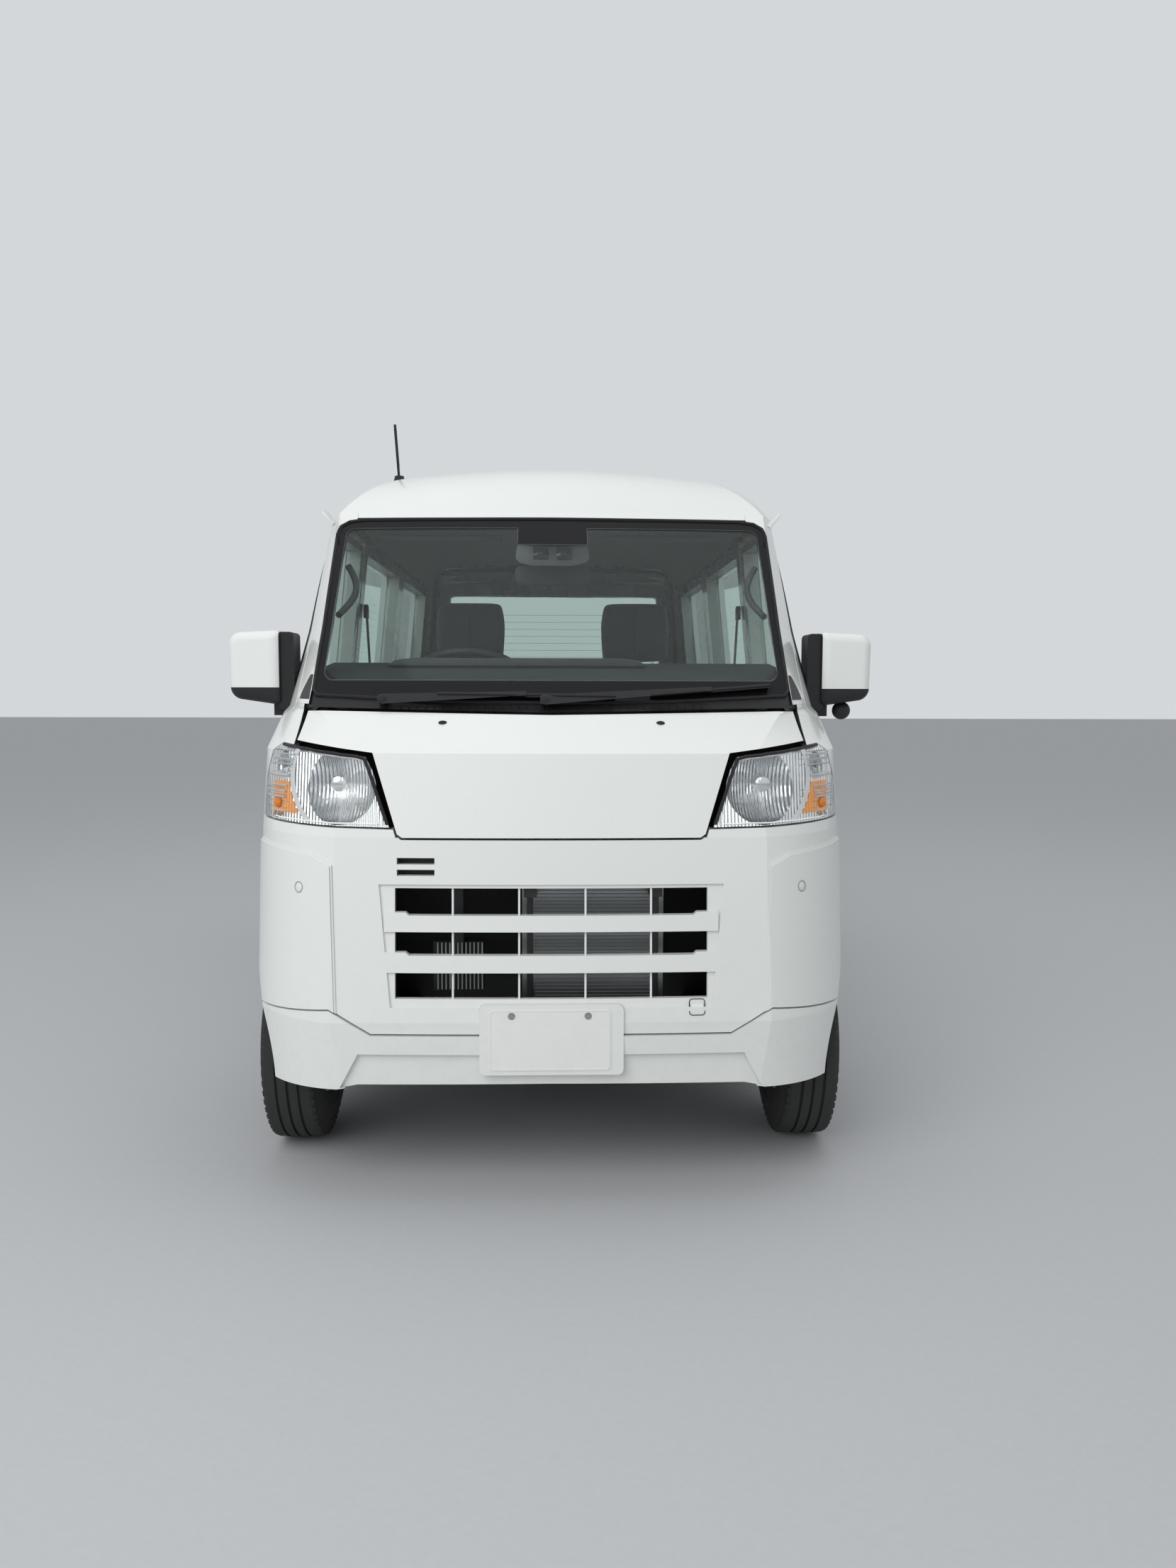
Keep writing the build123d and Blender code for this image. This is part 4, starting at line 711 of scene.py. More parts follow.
@dataclass
class Skin:
    """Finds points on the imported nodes' surfaces by rays."""

    nodes: dict[str, bpy.types.Object]
    trees: dict[str, BVHTree] = field(default_factory=dict)

    def hit(self, node: str, start: Point, way: Point) -> Vector:
        """Returns where a ray first meets a node.

        Args:
            node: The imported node's name.
            start: The ray's start.
            way: The ray's direction.

        Returns:
            The point met, or the start where the ray misses.
        """
        if node not in self.trees:
            self.trees[node] = BVHTree.FromObject(self.nodes[node], bpy.context.evaluated_depsgraph_get())
        place = self.trees[node].ray_cast(Vector(start), Vector(way).normalized())[0]
        return place if place is not None else Vector(start)

    def ahead(self, node: str, x: float, z: float) -> Vector:
        """Returns the foremost point of a node at that X and height."""
        return self.hit(node, (x, FAR_AHEAD, z), (0, 1, 0))

    def behind(self, node: str, x: float, z: float) -> Vector:
        """Returns the rearmost point of a node at that X and height."""
        return self.hit(node, (x, FAR_BEHIND, z), (0, -1, 0))

    def beside(self, node: str, side: Side, y: float, z: float) -> Vector:
        """Returns the outermost point of a node on a side at that Y and height."""
        return self.hit(node, (side.value * FAR_ASIDE, y, z), (-side.value, 0, 0))

    def facing(self, node: str, start: Point, way: Point, reach: float = 0.008) -> Vector:
        """Returns the outward direction of the surface where a ray lands."""
        along = Vector(way).cross(Vector((0, 0, 1))).normalized() * reach
        middle = self.hit(node, start, way)
        beside = self.hit(node, tuple(Vector(start) + along), way)
        above = self.hit(node, (start[0], start[1], start[2] + reach), way)
        normal = (beside - middle).cross(above - middle).normalized()
        return normal if normal.dot(Vector(way)) < 0 else -normal

    def side_line(self, node: str, side: Side, outline: Sequence[Pair], step: float = 0.04) -> list[Vector]:
        """Returns points along a side-view outline (depth, height) where it lies on a node.

        Args:
            node: The node that the line lies on.
            side: The vehicle's side.
            outline: Corners as depth behind the nose and height.
            step: The longest run between two points.
        """
        line = densify([Vector((nose(y), z)) for y, z in outline], step)
        return [self.beside(node, side, p.x, p.y) for p in line]

    def front_line(self, node: str, outline: Sequence[Pair], step: float = 0.04) -> list[Vector]:
        """Returns points along a front-view outline (x, height) where it lies on a node."""
        line = densify([Vector(p) for p in outline], step)
        return [self.ahead(node, p.x, p.y) for p in line]

    def rear_line(self, node: str, outline: Sequence[Pair], step: float = 0.04) -> list[Vector]:
        """Returns points along a rear-view outline (x, height) where it lies on a node."""
        line = densify([Vector(p) for p in outline], step)
        return [self.behind(node, p.x, p.y) for p in line]


def densify(corners_2d: Sequence[Vector], step: float) -> list[Vector]:
    """Adds points to a closed outline.

    Args:
        corners_2d: The outline's corners in order.
        step: The longest run between two points.

    Returns:
        The corners and the points between them.
    """
    line: list[Vector] = []
    for index, start in enumerate(corners_2d):
        end = corners_2d[(index + 1) % len(corners_2d)]
        count = max(1, math.ceil((end - start).length / step))
        line += [start.lerp(end, k / count) for k in range(count)]
    return line


def rounded(wide: float, tall: float, radius: float, steps: int = 4) -> list[Pair]:
    """Returns the outline of a rectangle with rounded corners about its middle.

    Args:
        wide: Its first extent.
        tall: Its second extent.
        radius: Its corners' radius.
        steps: Steps of each corner's arc.

    Returns:
        The outline's points in order.
    """
    line = []
    for turn, (sx, sy) in enumerate(((1, 1), (-1, 1), (-1, -1), (1, -1))):
        for k in range(steps + 1):
            angle = math.radians(90 * turn + 90 * k / steps)
            line.append((sx * (wide / 2 - radius) + radius * math.cos(angle),
                         sy * (tall / 2 - radius) + radius * math.sin(angle)))
    return line


def upright(centre: Point, wide: float, tall: float, radius: float) -> list[Point]:
    """Returns a rounded rectangle that stands across the vehicle.

    Args:
        centre: Its middle.
        wide: Its extent in X.
        tall: Its extent in Z.
        radius: Its corners' radius.

    Returns:
        The outline's points in order.
    """
    x, y, z = centre
    return [(x + px, y, z + pz) for px, pz in rounded(wide, tall, radius)]


class Form:
    """A mesh in the making, shaped by bmesh operators."""

    def __init__(self) -> None:
        """Starts an empty mesh."""
        self.mesh = bmesh.new()

    def _stand(self, verts: Sequence[bmesh.types.BMVert], centre: Point, axis: Point) -> None:
        """Turns fresh vertices from the Z axis to the given one and moves them to their centre."""
        turn = Vector((0, 0, 1)).rotation_difference(Vector(axis)).to_matrix()
        bmesh.ops.rotate(self.mesh, cent=(0, 0, 0), matrix=turn, verts=verts)
        bmesh.ops.translate(self.mesh, vec=centre, verts=verts)

    def soften(self, verts: Iterable[bmesh.types.BMVert], offset: float, segments: int = 2) -> None:
        """Bevels every edge between the given vertices."""
        kept = set(verts)
        edges = [e for e in self.mesh.edges if e.verts[0] in kept and e.verts[1] in kept]
        bmesh.ops.bevel(
            self.mesh, geom=edges, offset=offset, segments=segments, profile=0.5,
            affect="EDGES", material=-1, clamp_overlap=True,
        )

    def box(self, low: Point, high: Point, bevel: float = 0.002, segments: int = 2) -> Form:
        """Adds a box between two corners with rounded edges."""
        verts = bmesh.ops.create_cube(self.mesh, size=1.0)["verts"]
        bmesh.ops.scale(self.mesh, vec=[h - l for l, h in zip(low, high)], verts=verts)
        bmesh.ops.translate(self.mesh, vec=[(l + h) / 2 for l, h in zip(low, high)], verts=verts)
        self.soften(verts, bevel, segments)
        return self

    def ball(self, centre: Point, radii: Point, segments: int = 20) -> Form:
        """Adds an ellipsoid."""
        made = bmesh.ops.create_uvsphere(
            self.mesh, u_segments=segments, v_segments=segments // 2, radius=1.0)["verts"]
        bmesh.ops.scale(self.mesh, vec=radii, verts=made)
        bmesh.ops.translate(self.mesh, vec=centre, verts=made)
        return self

    def lathe(
        self, profile: Sequence[Pair], centre: Point, axis: Point, segments: int = 40, ring: bool = False,
    ) -> Form:
        """Turns a profile of (radius, height) about an axis.

        Args:
            profile: Points of the outline in order.
            centre: The axis's origin.
            axis: The axis's direction.
            segments: Steps of the turn.
            ring: Whether the profile is closed.
        """
        before = set(self.mesh.verts)
        verts = [self.mesh.verts.new((r, 0.0, h)) for r, h in profile]
        pairs = list(zip(verts, verts[1:])) + ([(verts[-1], verts[0])] if ring else [])
        edges = [self.mesh.edges.new(pair) for pair in pairs]
        bmesh.ops.spin(
            self.mesh, geom=verts + edges, cent=(0, 0, 0), axis=(0, 0, 1), angle=math.tau,
            steps=segments, use_merge=True, use_duplicate=False,
        )
        bmesh.ops.remove_doubles(self.mesh, verts=[v for v in self.mesh.verts if v not in before], dist=1e-6)
        self._stand([v for v in self.mesh.verts if v not in before], centre, axis)
        return self

    def disc(
        self, centre: Point, axis: Point, radius: float, thick: float, soft: float = 0.001,
        segments: int = 32
    ) -> Form:
        """Adds a round disc or bar with softened rims, standing on its centre along the axis."""
        profile = [(0, 0), (radius, 0), (radius, thick - soft), (radius - soft, thick), (0, thick)]
        return self.lathe(profile, centre, axis, segments)

    def slab(self, outline: Sequence[Point], push: Point, bevel: float = 0.0, segments: int = 2) -> Form:
        """Adds a flat outline pushed into a solid slab.

        Args:
            outline: The corners in order.
            push: The vector that the outline is extruded by.
            bevel: Rounding of its edges.
            segments: Steps of the rounding.
        """
        face = self.mesh.faces.new([self.mesh.verts.new(p) for p in outline])
        first = list(face.verts)
        made = bmesh.ops.extrude_face_region(self.mesh, geom=[face])["geom"]
        moved = [g for g in made if isinstance(g, bmesh.types.BMVert)]
        bmesh.ops.translate(self.mesh, vec=push, verts=moved)
        if bevel:
            self.soften(first + moved, bevel, segments)
        return self

    def quilt(self, rows: Sequence[Sequence[Point]], thick: float) -> Form:
        """Adds a curved panel through rows of points, thickened to one side."""
        grid = [[self.mesh.verts.new(p) for p in row] for row in rows]
        faces = []
        for lower, upper in zip(grid, grid[1:]):
            for k in range(len(lower) - 1):
                faces.append(self.mesh.faces.new((lower[k], lower[k + 1], upper[k + 1], upper[k])))
        bmesh.ops.recalc_face_normals(self.mesh, faces=faces)
        bmesh.ops.solidify(self.mesh, geom=faces, thickness=thick)
        return self

    def sweep(self, line: Sequence[Point], radius: float, closed: bool = False, sides: int = 2) -> Form:
        """Adds a round strip along a line of points.

        Args:
            line: The points that the strip follows.
            radius: Its radius.
            closed: Whether its ends join.
            sides: The curve's bevel resolution.
        """
        curve = bpy.data.curves.new("strip", "CURVE")
        curve.dimensions = "3D"
        curve.bevel_depth = radius
        curve.bevel_resolution = sides
        curve.use_fill_caps = not closed
        spline = curve.splines.new("POLY")
        spline.points.add(len(line) - 1)
        for point, place in zip(spline.points, line):
            point.co = (*place, 1.0)
        spline.use_cyclic_u = closed
        holder = bpy.data.objects.new("strip", curve)
        data = bpy.data.meshes.new_from_object(holder)
        self.mesh.from_mesh(data)
        bpy.data.objects.remove(holder)
        bpy.data.curves.remove(curve)
        bpy.data.meshes.remove(data)
        return self

    def turned(self, centre: Point, axis: Point, degrees: float) -> Form:
        """Turns everything so far about an axis through a point."""
        turn = Matrix.Rotation(math.radians(degrees), 3, Vector(axis))
        bmesh.ops.rotate(self.mesh, cent=centre, matrix=turn, verts=self.mesh.verts[:])
        return self

    def moved(self, by: Point) -> Form:
        """Moves everything so far."""
        bmesh.ops.translate(self.mesh, vec=by, verts=self.mesh.verts[:])
        return self

    def mirrored(self) -> Form:
        """Adds the mirror image across the vehicle's middle plane."""
        geom = self.mesh.verts[:] + self.mesh.edges[:] + self.mesh.faces[:]
        bmesh.ops.mirror(self.mesh, geom=geom, matrix=Matrix.Identity(4), merge_dist=1e-6, axis="X")
        return self

    def handed(self, side: Side) -> Form:
        """Turns a shape drawn for the left side over to the given side."""
        if side is Side.RIGHT:
            bmesh.ops.scale(self.mesh, vec=(-1, 1, 1), verts=self.mesh.verts[:])
        return self

    def on(self, side: Side, name: str, finish: Finish, body: str = "body") -> bpy.types.Object:
        """Turns a left-hand shape over to a side and makes it that side's piece."""
        return self.handed(side).piece(f"{name}_{side.word}", finish, body)

    def ring(self, count: int, centre: Point, axis: Point) -> Form:
        """Repeats everything so far evenly round an axis."""
        geom = self.mesh.verts[:] + self.mesh.edges[:] + self.mesh.faces[:]
        bmesh.ops.spin(
            self.mesh, geom=geom, cent=centre, axis=axis, angle=math.tau * (count - 1) / count,
            steps=count - 1, use_duplicate=True, use_merge=False,
        )
        return self

    def piece(self, name: str, finish: Finish, body: str = "body", crease: float = 35.0) -> bpy.types.Object:
        """Makes the finished object and sets it on its body.

        Args:
            name: The piece's name.
            finish: Its finish.
            body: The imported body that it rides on.
            crease: The angle in degrees above which an edge stays sharp.

        Returns:
            The new object.
        """
        bmesh.ops.remove_doubles(self.mesh, verts=self.mesh.verts[:], dist=1e-6)
        bmesh.ops.recalc_face_normals(self.mesh, faces=self.mesh.faces[:])
        data = bpy.data.meshes.new(name)
        self.mesh.to_mesh(data)
        self.mesh.free()
        data.shade_smooth()
        data.set_sharp_from_angle(angle=math.radians(crease))
        data.materials.append(finish.material())
        shape = bpy.data.objects.new(name, data)
        bpy.context.scene.collection.objects.link(shape)
        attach(shape, body)
        LOG.info("piece %s: %d faces on %s", name, len(data.polygons), body)
        return shape


# --- nose


@dataclass
class NumberPlate:
    """A blank number plate: a pressed sheet with a raised rim and two bolts."""

    wide: float = 0.282
    tall: float = 0.145
    thick: float = 0.0012
    bolt_x: float = 0.088
    bolt_drop: float = 0.016

    def build(self, name: str, body: str, place: Point, facing: float) -> None:
        """Builds the plate.

        Args:
            name: The piece's name.
            body: The body that it rides on.
            place: The middle of its back face.
            facing: -1 where it looks forwards, +1 where it looks back.
        """
        x, y, z = place
        front = y + facing * self.thick
        form = Form().slab(upright(place, self.wide, self.tall, 0.010), (0, facing * self.thick, 0))
        rim = upright((x, front, z), self.wide - 0.008, self.tall - 0.008, 0.008)
        form.sweep(rim, 0.0011, closed=True).piece(f"{name}_sheet", PLATE_WHITE, body)
        bolts = Form()
        for side in (-1, 1):
            head = (x + side * self.bolt_x, front, z + self.tall / 2 - self.bolt_drop)
            bolts.disc(head, (0, facing, 0), 0.0085, 0.0008, 0.0003, 24)
            bolts.disc(head, (0, facing, 0), 0.0056, 0.0032, 0.0008, 6)
        bolts.piece(f"{name}_bolts", BOLT_STEEL, body)


@dataclass
class Headlamp:
    """What shows inside one headlamp: bulb and shield, ring, signal bulbs and ribs."""

    side: Side
    skin: Skin
    bowl: Pair = (0.497, 0.964)
    shield_radius: float = 0.0195
    ring_radius: float = 0.1345
    arc: Pair = (0.4755, 0.9836)
    rib_rows: tuple[float, ...] = (0.902, 0.917, 0.932, 0.947, 1.006, 1.020)
    corner_ribs: tuple[Pair, ...] = (
        (0.928, 0.0026), (0.942, 0.0026), (0.955, 0.0026), (0.980, 0.0042), (1.006, 0.0024),
        (1.018, 0.0024), (1.030, 0.0024),
    )

    def build(self) -> None:
        """Builds the lamp's inner parts."""
        x, z = self.bowl
        shield = Form().lathe(
            [(0, 0), (0.012, 0), (0.017, 0.003), (self.shield_radius, 0.009), (self.shield_radius, 0.022),
             (0.0165, 0.024), (0.0165, 0.012), (0, 0.010)],
            (x, nose(0.106), z), (0, 1, 0),
        )
        for turn in (90, 210, 330):
            leg = Vector((math.cos(math.radians(turn)), 0, math.sin(math.radians(turn)))) * 0.0175
            shield.sweep(
                [(x + leg.x, nose(0.124), z + leg.z), (x + leg.x * 1.05, nose(0.176), z + leg.z * 1.05)],
                0.0014)
        shield.on(self.side, "bulb_shield", LAMP_CHROME)
        bulb = Form().lathe(
            [
                (0, 0), (0.004, 0.001), (0.0075, 0.006), (0.0082, 0.014), (0.0082, 0.036), (0.0115, 0.038),
                (0.0115, 0.052), (0, 0.052)],
            (x, nose(0.126), z), (0, 1, 0),
        )
        bulb.on(self.side, "bulb", BULB_GLASS)
        self.build_ring()
        amber = Form().ball((0.655, nose(0.196), 0.912), (0.013, 0.017, 0.013), 20)
        amber.disc((0.655, nose(0.214), 0.912), (0, -1, 0), 0.015, 0.006)
        amber.on(self.side, "signal_bulb", AMBER)
        clear = Form().ball((0.642, nose(0.206), 1.004), (0.009, 0.014, 0.009), 16)
        clear.disc((0.642, nose(0.222), 1.004), (0, -1, 0), 0.011, 0.006)
        clear.on(self.side, "position_bulb", BULB_GLASS)
        ribs = Form()
        for height in self.rib_rows:
            line = []
            for k in range(9):
                at = self.skin.ahead("headlamp_lenses", 0.590 + 0.0135 * k, height)
                line.append((at.x, at.y + 0.0062, at.z))
            ribs.sweep([p for p in line if p[1] > FRONT_MISS], 0.0007)
        ribs.on(self.side, "lamp_ribs", RIB_CLEAR)
        self.build_edge()
        self.build_outer()

    def scan(self, x: float, start: float, step: float, tries: int) -> Vector | None:
        """Finds the lens's edge by rays that step up or down.

        Args:
            x: Where the rays run.
            start: The first ray's height.
            step: The rise from ray to ray.
            tries: The most rays sent.

        Returns:
            The first point met on the lens, or None.
        """
        for count in range(tries):
            at = self.skin.ahead("headlamp_lenses", x, start + step * count)
            if at.y > FRONT_MISS:
                return at
        return None

    def seat(self, x: float, z: float, rise: float) -> Vector:
        """Finds a point a little proud of the reflector, or not far behind the lens over a bowl.

        Args:
            x: The point's X.
            z: The point's height.
            rise: How far it stands proud.

        Returns:
            The point, or the ray's start where the lens is missed.
        """
        front = self.skin.ahead("headlamp_lenses", x, z)
        back = self.skin.ahead("headlamps", x, z)
        if front.y < FRONT_MISS:
            return front
        deepest = front.y + 0.012
        behind = min(back.y, deepest) if back.y > FRONT_MISS else deepest
        return Vector((x, behind - rise, z))

    def build_ring(self) -> None:
        """Builds the pale arc that parts the main bowl from the signals; its material glows faintly as
        painted light.
        """
        x, z = self.arc
        columns = []
        for k in range(31):
            turn = math.radians(-49 + 2.62 * k)
            column = []
            for out, rise in ((0.0, 0.0024), (0.0065, 0.0036), (0.013, 0.0024)):
                radius = self.ring_radius + out
                column.append(self.seat(x + radius * math.cos(turn), z + radius * math.sin(turn), rise))
            if all(p.y > FRONT_MISS for p in column):
                columns.append(column)
        # The ring's material glows faintly: painted light on an unlit lamp part.
        ring = Form().quilt(columns, 0.0008)
        ring.on(self.side, "bowl_ring", RING_PAINTED_GLOW)

    def build_edge(self) -> None:
        """Builds a black strip along the lens's inner side and top, a painted shadow for the dark gap there.
        """
        edge = [(0.3785, 0.8745), (0.391, 0.908), (0.405, 0.946), (0.419, 0.985), (0.4345, 1.0235)]
        line = [self.skin.ahead("headlamp_lenses", px, pz) for px, pz in edge]
        top = [self.scan(0.455 + 0.018 * k, 1.075, -0.0015, 60) for k in range(12)]
        line += [at for at in top if at is not None]
        # Painted shadow: the black strip stands for the shade in the gap beside the lens.
        form = Form().sweep([(p.x, p.y + 0.0005, p.z) for p in line], 0.0042)
        form.on(self.side, "lamp_black_edge", BLACK_GRAIN)

    def build_outer(self) -> None:
        """Builds the signal panel and its frame, both glowing faintly as painted light, the corner's ribs and
        a pale glowing strip along the lens's top and bottom edges as a painted highlight.
        """
        x, z = self.arc
        rows = []
        for height in (0.892, 0.9, 0.909, 0.918, 0.927, 0.936, 0.945, 0.954, 0.965):
            start = x + math.sqrt((self.ring_radius + 0.016) ** 2 - (height - z) ** 2)
            rows.append([self.seat(start + (0.674 - start) * k / 12, height, 0.0030) for k in range(13)])
        panel = Form().quilt(rows, 0.0008)
        panel.on(self.side, "signal_panel", AMBER_PANEL)
        bars = Form()
        for offset in (-0.003, 0.0, 0.003):
            line = [self.seat(0.628 + 0.006 * k, 0.973 + offset + 0.0010 * k, 0.0015) for k in range(8)]
            bars.sweep([p for p in line if p.y > FRONT_MISS], 0.0022)
        post = [self.seat(0.678, 0.893 + 0.0125 * k, 0.0015) for k in range(12)]
        bars.sweep([p for p in post if p.y > FRONT_MISS], 0.0026)
        bars.on(self.side, "signal_frame", RING_PAINTED_GLOW)
        ribs = Form()
        for height, radius in self.corner_ribs:
            line = [
                self.skin.hit("headlamp_lenses", (1.5, nose(0.172 + 0.0095 * j), height), (-1, 0, 0))
                for j in range(10)]
            kept = [p for p in line if p.x < SIDE_MISS]
            if len(kept) > 2:
                ribs.sweep(kept, radius)
        ribs.on(self.side, "lamp_corner_ribs", RIB_CLEAR)
        # Painted highlight: a pale glowing strip along the lens's top and bottom edges.
        rim = Form()
        for step, start in ((0.0015, 0.850), (-0.0015, 1.075)):
            met = [self.scan(0.400 + 0.0165 * k, start, step, 80) for k in range(17)]
            line = [(at.x, at.y + 0.0010, at.z + 4 * step) for at in met if at is not None]
            if len(line) > 2:
                rim.sweep(line, 0.0018)
        rim.on(self.side, "lamp_bright_rim", RING_PAINTED_GLOW)


@dataclass
class NoseTrim:
    """Small parts of the nose and roof: sensors, tow cap, radiator, horn slats, louvres, fins and aerial."""

    skin: Skin
    sensor: tuple[float, float, float] = (0.590, 0.725, 0.012)
    tow_cap: tuple[float, float, float] = (0.337, 0.453, 0.036)
    fin_pitch: float = 0.0085

    def build(self) -> None:
        """Builds every piece of the nose's trim."""
        self.build_sensors()
        self.build_tow_cap()
        self.build_radiator()
        self.build_cowl()

    def build_sensors(self) -> None:
        """Builds the two round parking sensors."""
        x, z, radius = self.sensor
        at = self.skin.ahead("bumper_face", x, z)
        inward = -self.skin.facing("bumper_face", (x, FAR_AHEAD, z), (0, 1, 0))
        ring = Form().lathe(
            [
                (radius + 0.0015, 0.006), (radius + 0.0015, -0.0006), (radius, -0.0016),
                (radius - 0.0012, -0.0004), (radius - 0.0012, 0.006)],
            (0, 0, 0), inward, 40, ring=True,
        )
        ring.moved(at).mirrored().piece("sensor_rings", GREY_TRIM)
        face = Form().lathe(
            [
                (0, -0.0012), (radius * 0.6, -0.001), (radius - 0.0014, 0.0004), (radius - 0.0014, 0.006),
                (0, 0.006)],
            (0, 0, 0), inward)
        face.moved(at).mirrored().piece("sensor_faces", WHITE_BUMPER)

    def build_tow_cap(self) -> None:
        """Builds the square cap over the towing eye's hole, ringed by a dark strip that paints the shade in
        its groove.
        """
        x, z, size = self.tow_cap
        line = [self.skin.ahead("bumper_face", x + px, z + pz) for px, pz in rounded(size, size, 0.007)]
        # Painted shade: a dark rubber line stands for the shadow in the groove round the cap.
        Form().sweep(line, 0.0011, closed=True).piece("tow_cap_groove", SEAL_RUBBER)
        rows = []
        for row in range(5):
            height = z - size / 2 + 0.0035 + (size - 0.007) * row / 4
            rows.append([
                self.skin.ahead(
                    "bumper_face", x - size / 2 + 0.0035 + (size - 0.007) * k / 4, height
                ) - Vector((0, 0.0006, 0))
                for k in range(5)
            ])
        Form().quilt(rows, 0.0012).piece("tow_cap", WHITE_BUMPER)

    def build_radiator(self) -> None:
        """Builds the cooling tubes, side tanks and horn slats that show through the grille."""
        low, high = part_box("radiator")
        fins = Form()
        count = int((high.z - low.z - 0.05) / self.fin_pitch)
        for k in range(count):
            z = low.z + 0.025 + k * self.fin_pitch
            fins.box(
                (low.x + 0.030, low.y - 0.0035, z), (high.x - 0.030, low.y + 0.001, z + 0.0022), 0.0006, 1)
        fins.piece("radiator_tubes", RADIATOR_ALLOY)
        posts = Form()
        for x in (low.x + 0.012, high.x - 0.026):
            posts.box((x, low.y - 0.010, low.z + 0.01), (x + 0.014, low.y + 0.001, high.z - 0.01), 0.003)
        posts.piece("radiator_side_tanks", CHASSIS_BLACK)
        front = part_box("horn")[0].y
        slats = Form()
        for k in range(12):
            x = -0.270 + 0.0095 * k
            slats.box((x, front - 0.003, 0.478), (x + 0.0030, front + 0.002, 0.590), 0.0008, 1)
        slats.piece("horn_slats", GREY_TRIM)

    def build_cowl(self) -> None:
        """Builds the cowl cover's louvres and the fins at the gutters' ends."""
        ribs = Form()
        for k in range(-27, 28):
            x = k * 0.0205
            foot = self.skin.ahead("cowl_cover", x, 1.1365)
            top = self.skin.ahead("cowl_cover", x, 1.1455)
            if foot.y > FRONT_MISS and top.y > FRONT_MISS:
                ribs.sweep([foot, foot.lerp(top, 0.5) - Vector((0, 0.002, 0)), top], 0.0016, sides=1)
        ribs.piece("cowl_louvres", BLACK_GRAIN)
        fins = Form().slab(
            [
                (0.616, nose(0.742), 1.648), (0.622, nose(0.742), 1.640), (0.652, nose(0.742), 1.680),
                (0.647, nose(0.742), 1.684)],
            (0, 0.045, 0.010), 0.0012,
        )
        fins.mirrored().piece("gutter_end_fins", WHITE_BUMPER)
        self.build_aerial()

    def build_aerial(self) -> None:
        """Winds the wire round the aerial's rod."""
        low, high = Vector((-0.4815, -0.5710, 1.850)), Vector((-0.4890, -0.6015, 2.000))
        foot, tip = low.lerp(high, 0.15), low.lerp(high, 0.92)
        run = (tip - foot).normalized()
        beside = run.cross(Vector((1, 0, 0))).normalized()
        across = run.cross(beside)
        line = []
        for k in range(241):
            turn = math.tau * k / 12
            line.append(
                foot.lerp(tip, k / 240) + (beside * math.cos(turn) + across * math.sin(turn)) * 0.0041)
        form = Form().sweep(line, 0.0010, sides=1)
        form.piece("aerial_winding", BLACK_GRAIN)


@dataclass
class ScreenTrim:
    """Windshield seal, wiper parts, washer jets and the caps at the pillars' feet."""

    skin: Skin
    pivots: tuple[Pair, ...] = ((-0.413, 1.162), (-0.016, 1.161))
    blades: tuple[tuple[float, float, float, float], ...] = (
        (-0.278, 1.174, 0.155, 1.169),
        (0.243, 1.172, 0.549, 1.196),
    )
    cap_foot: Pair = (0.6080, 1.160)
    cap_rise: float = 0.062
    cap_edge: float = 0.648
    cap_taper: float = 0.030

    def build(self) -> None:
        """Builds every piece round the windshield."""
        outline = [
            (0.0, 1.152), (0.30, 1.156), (0.588, 1.170), (0.600, 1.184), (0.602, 1.35), (0.612, 1.622),
            (0.603, 1.648), (0.582, 1.662), (0.54, 1.668), (0.0, 1.670),
        ]
        full = outline + [(-x, z) for x, z in outline[-2:0:-1]]
        seal = [p for p in self.skin.front_line("windshield", full, 0.03) if p.y > FRONT_MISS]
        Form().sweep(
            [(p.x, p.y - 0.0008, p.z) for p in seal], 0.0052, closed=True
        ).piece("windshield_seal", SEAL_RUBBER)
        self.build_wiper_parts()
        self.build_jets()
        self.build_pillar_caps()

    def build_wiper_parts(self) -> None:
        """Builds the wipers' pivot caps and blade spines."""
        caps = Form()
        for x, z in self.pivots:
            at = self.skin.ahead("wipers", x, z)
            caps.lathe(
                [(0, -0.006), (0.008, -0.005), (0.0125, -0.001), (0.0135, 0.006), (0, 0.006)], at,
                (0, 1, -0.5), 28)
        caps.piece("wiper_pivot_caps", BLACK_GRAIN)
        rubbers = Form()
        for x0, z0, x1, z1 in self.blades:
            line = []
            for k in range(13):
                x, z = x0 + (x1 - x0) * k / 12, z0 + (z1 - z0) * k / 12
                at = self.skin.ahead("wipers", x, z)
                if at.y > FRONT_MISS:
                    line.append((at.x, at.y - 0.001, at.z))
            rubbers.sweep(line, 0.0024)
        rubbers.piece("wiper_blade_spines", SEAL_RUBBER)

    def build_jets(self) -> None:
        """Builds the two washer jets on the bonnet."""
        jets = Form()
        for x in (-0.26, 0.26):
            at = self.skin.ahead("bonnet", x, 1.105)
            jets.ball((at.x, at.y + 0.002, at.z), (0.011, 0.008, 0.006), 16)
            jets.disc((at.x, at.y - 0.004, at.z), (0, -1, 0.3), 0.0022, 0.003, 0.0005, 12)
        jets.piece("washer_jets", BLACK_GRAIN, "bonnet")

    def build_pillar_caps(self) -> None:
        """Builds the black caps between bonnet corner and windshield."""
        for side in Side:
            rows = []
            for k in range(6):
                low_x = self.cap_foot[0]
                z = self.cap_foot[1] + self.cap_rise * k / 5
                high_x = self.cap_edge - self.cap_taper * (k / 5) ** 1.4
                rows.append([
                    self.skin.ahead("body_sides", low_x + (high_x - low_x) * j / 5, z) for j in range(6)
                ])
            if any(p.y < FRONT_MISS for row in rows for p in row):
                continue
            form = Form().quilt([[(p.x, p.y - 0.0016, p.z) for p in row] for row in rows], 0.0022)
            form.on(side, "pillar_foot_cap", BLACK_GRAIN)


# --- cabin


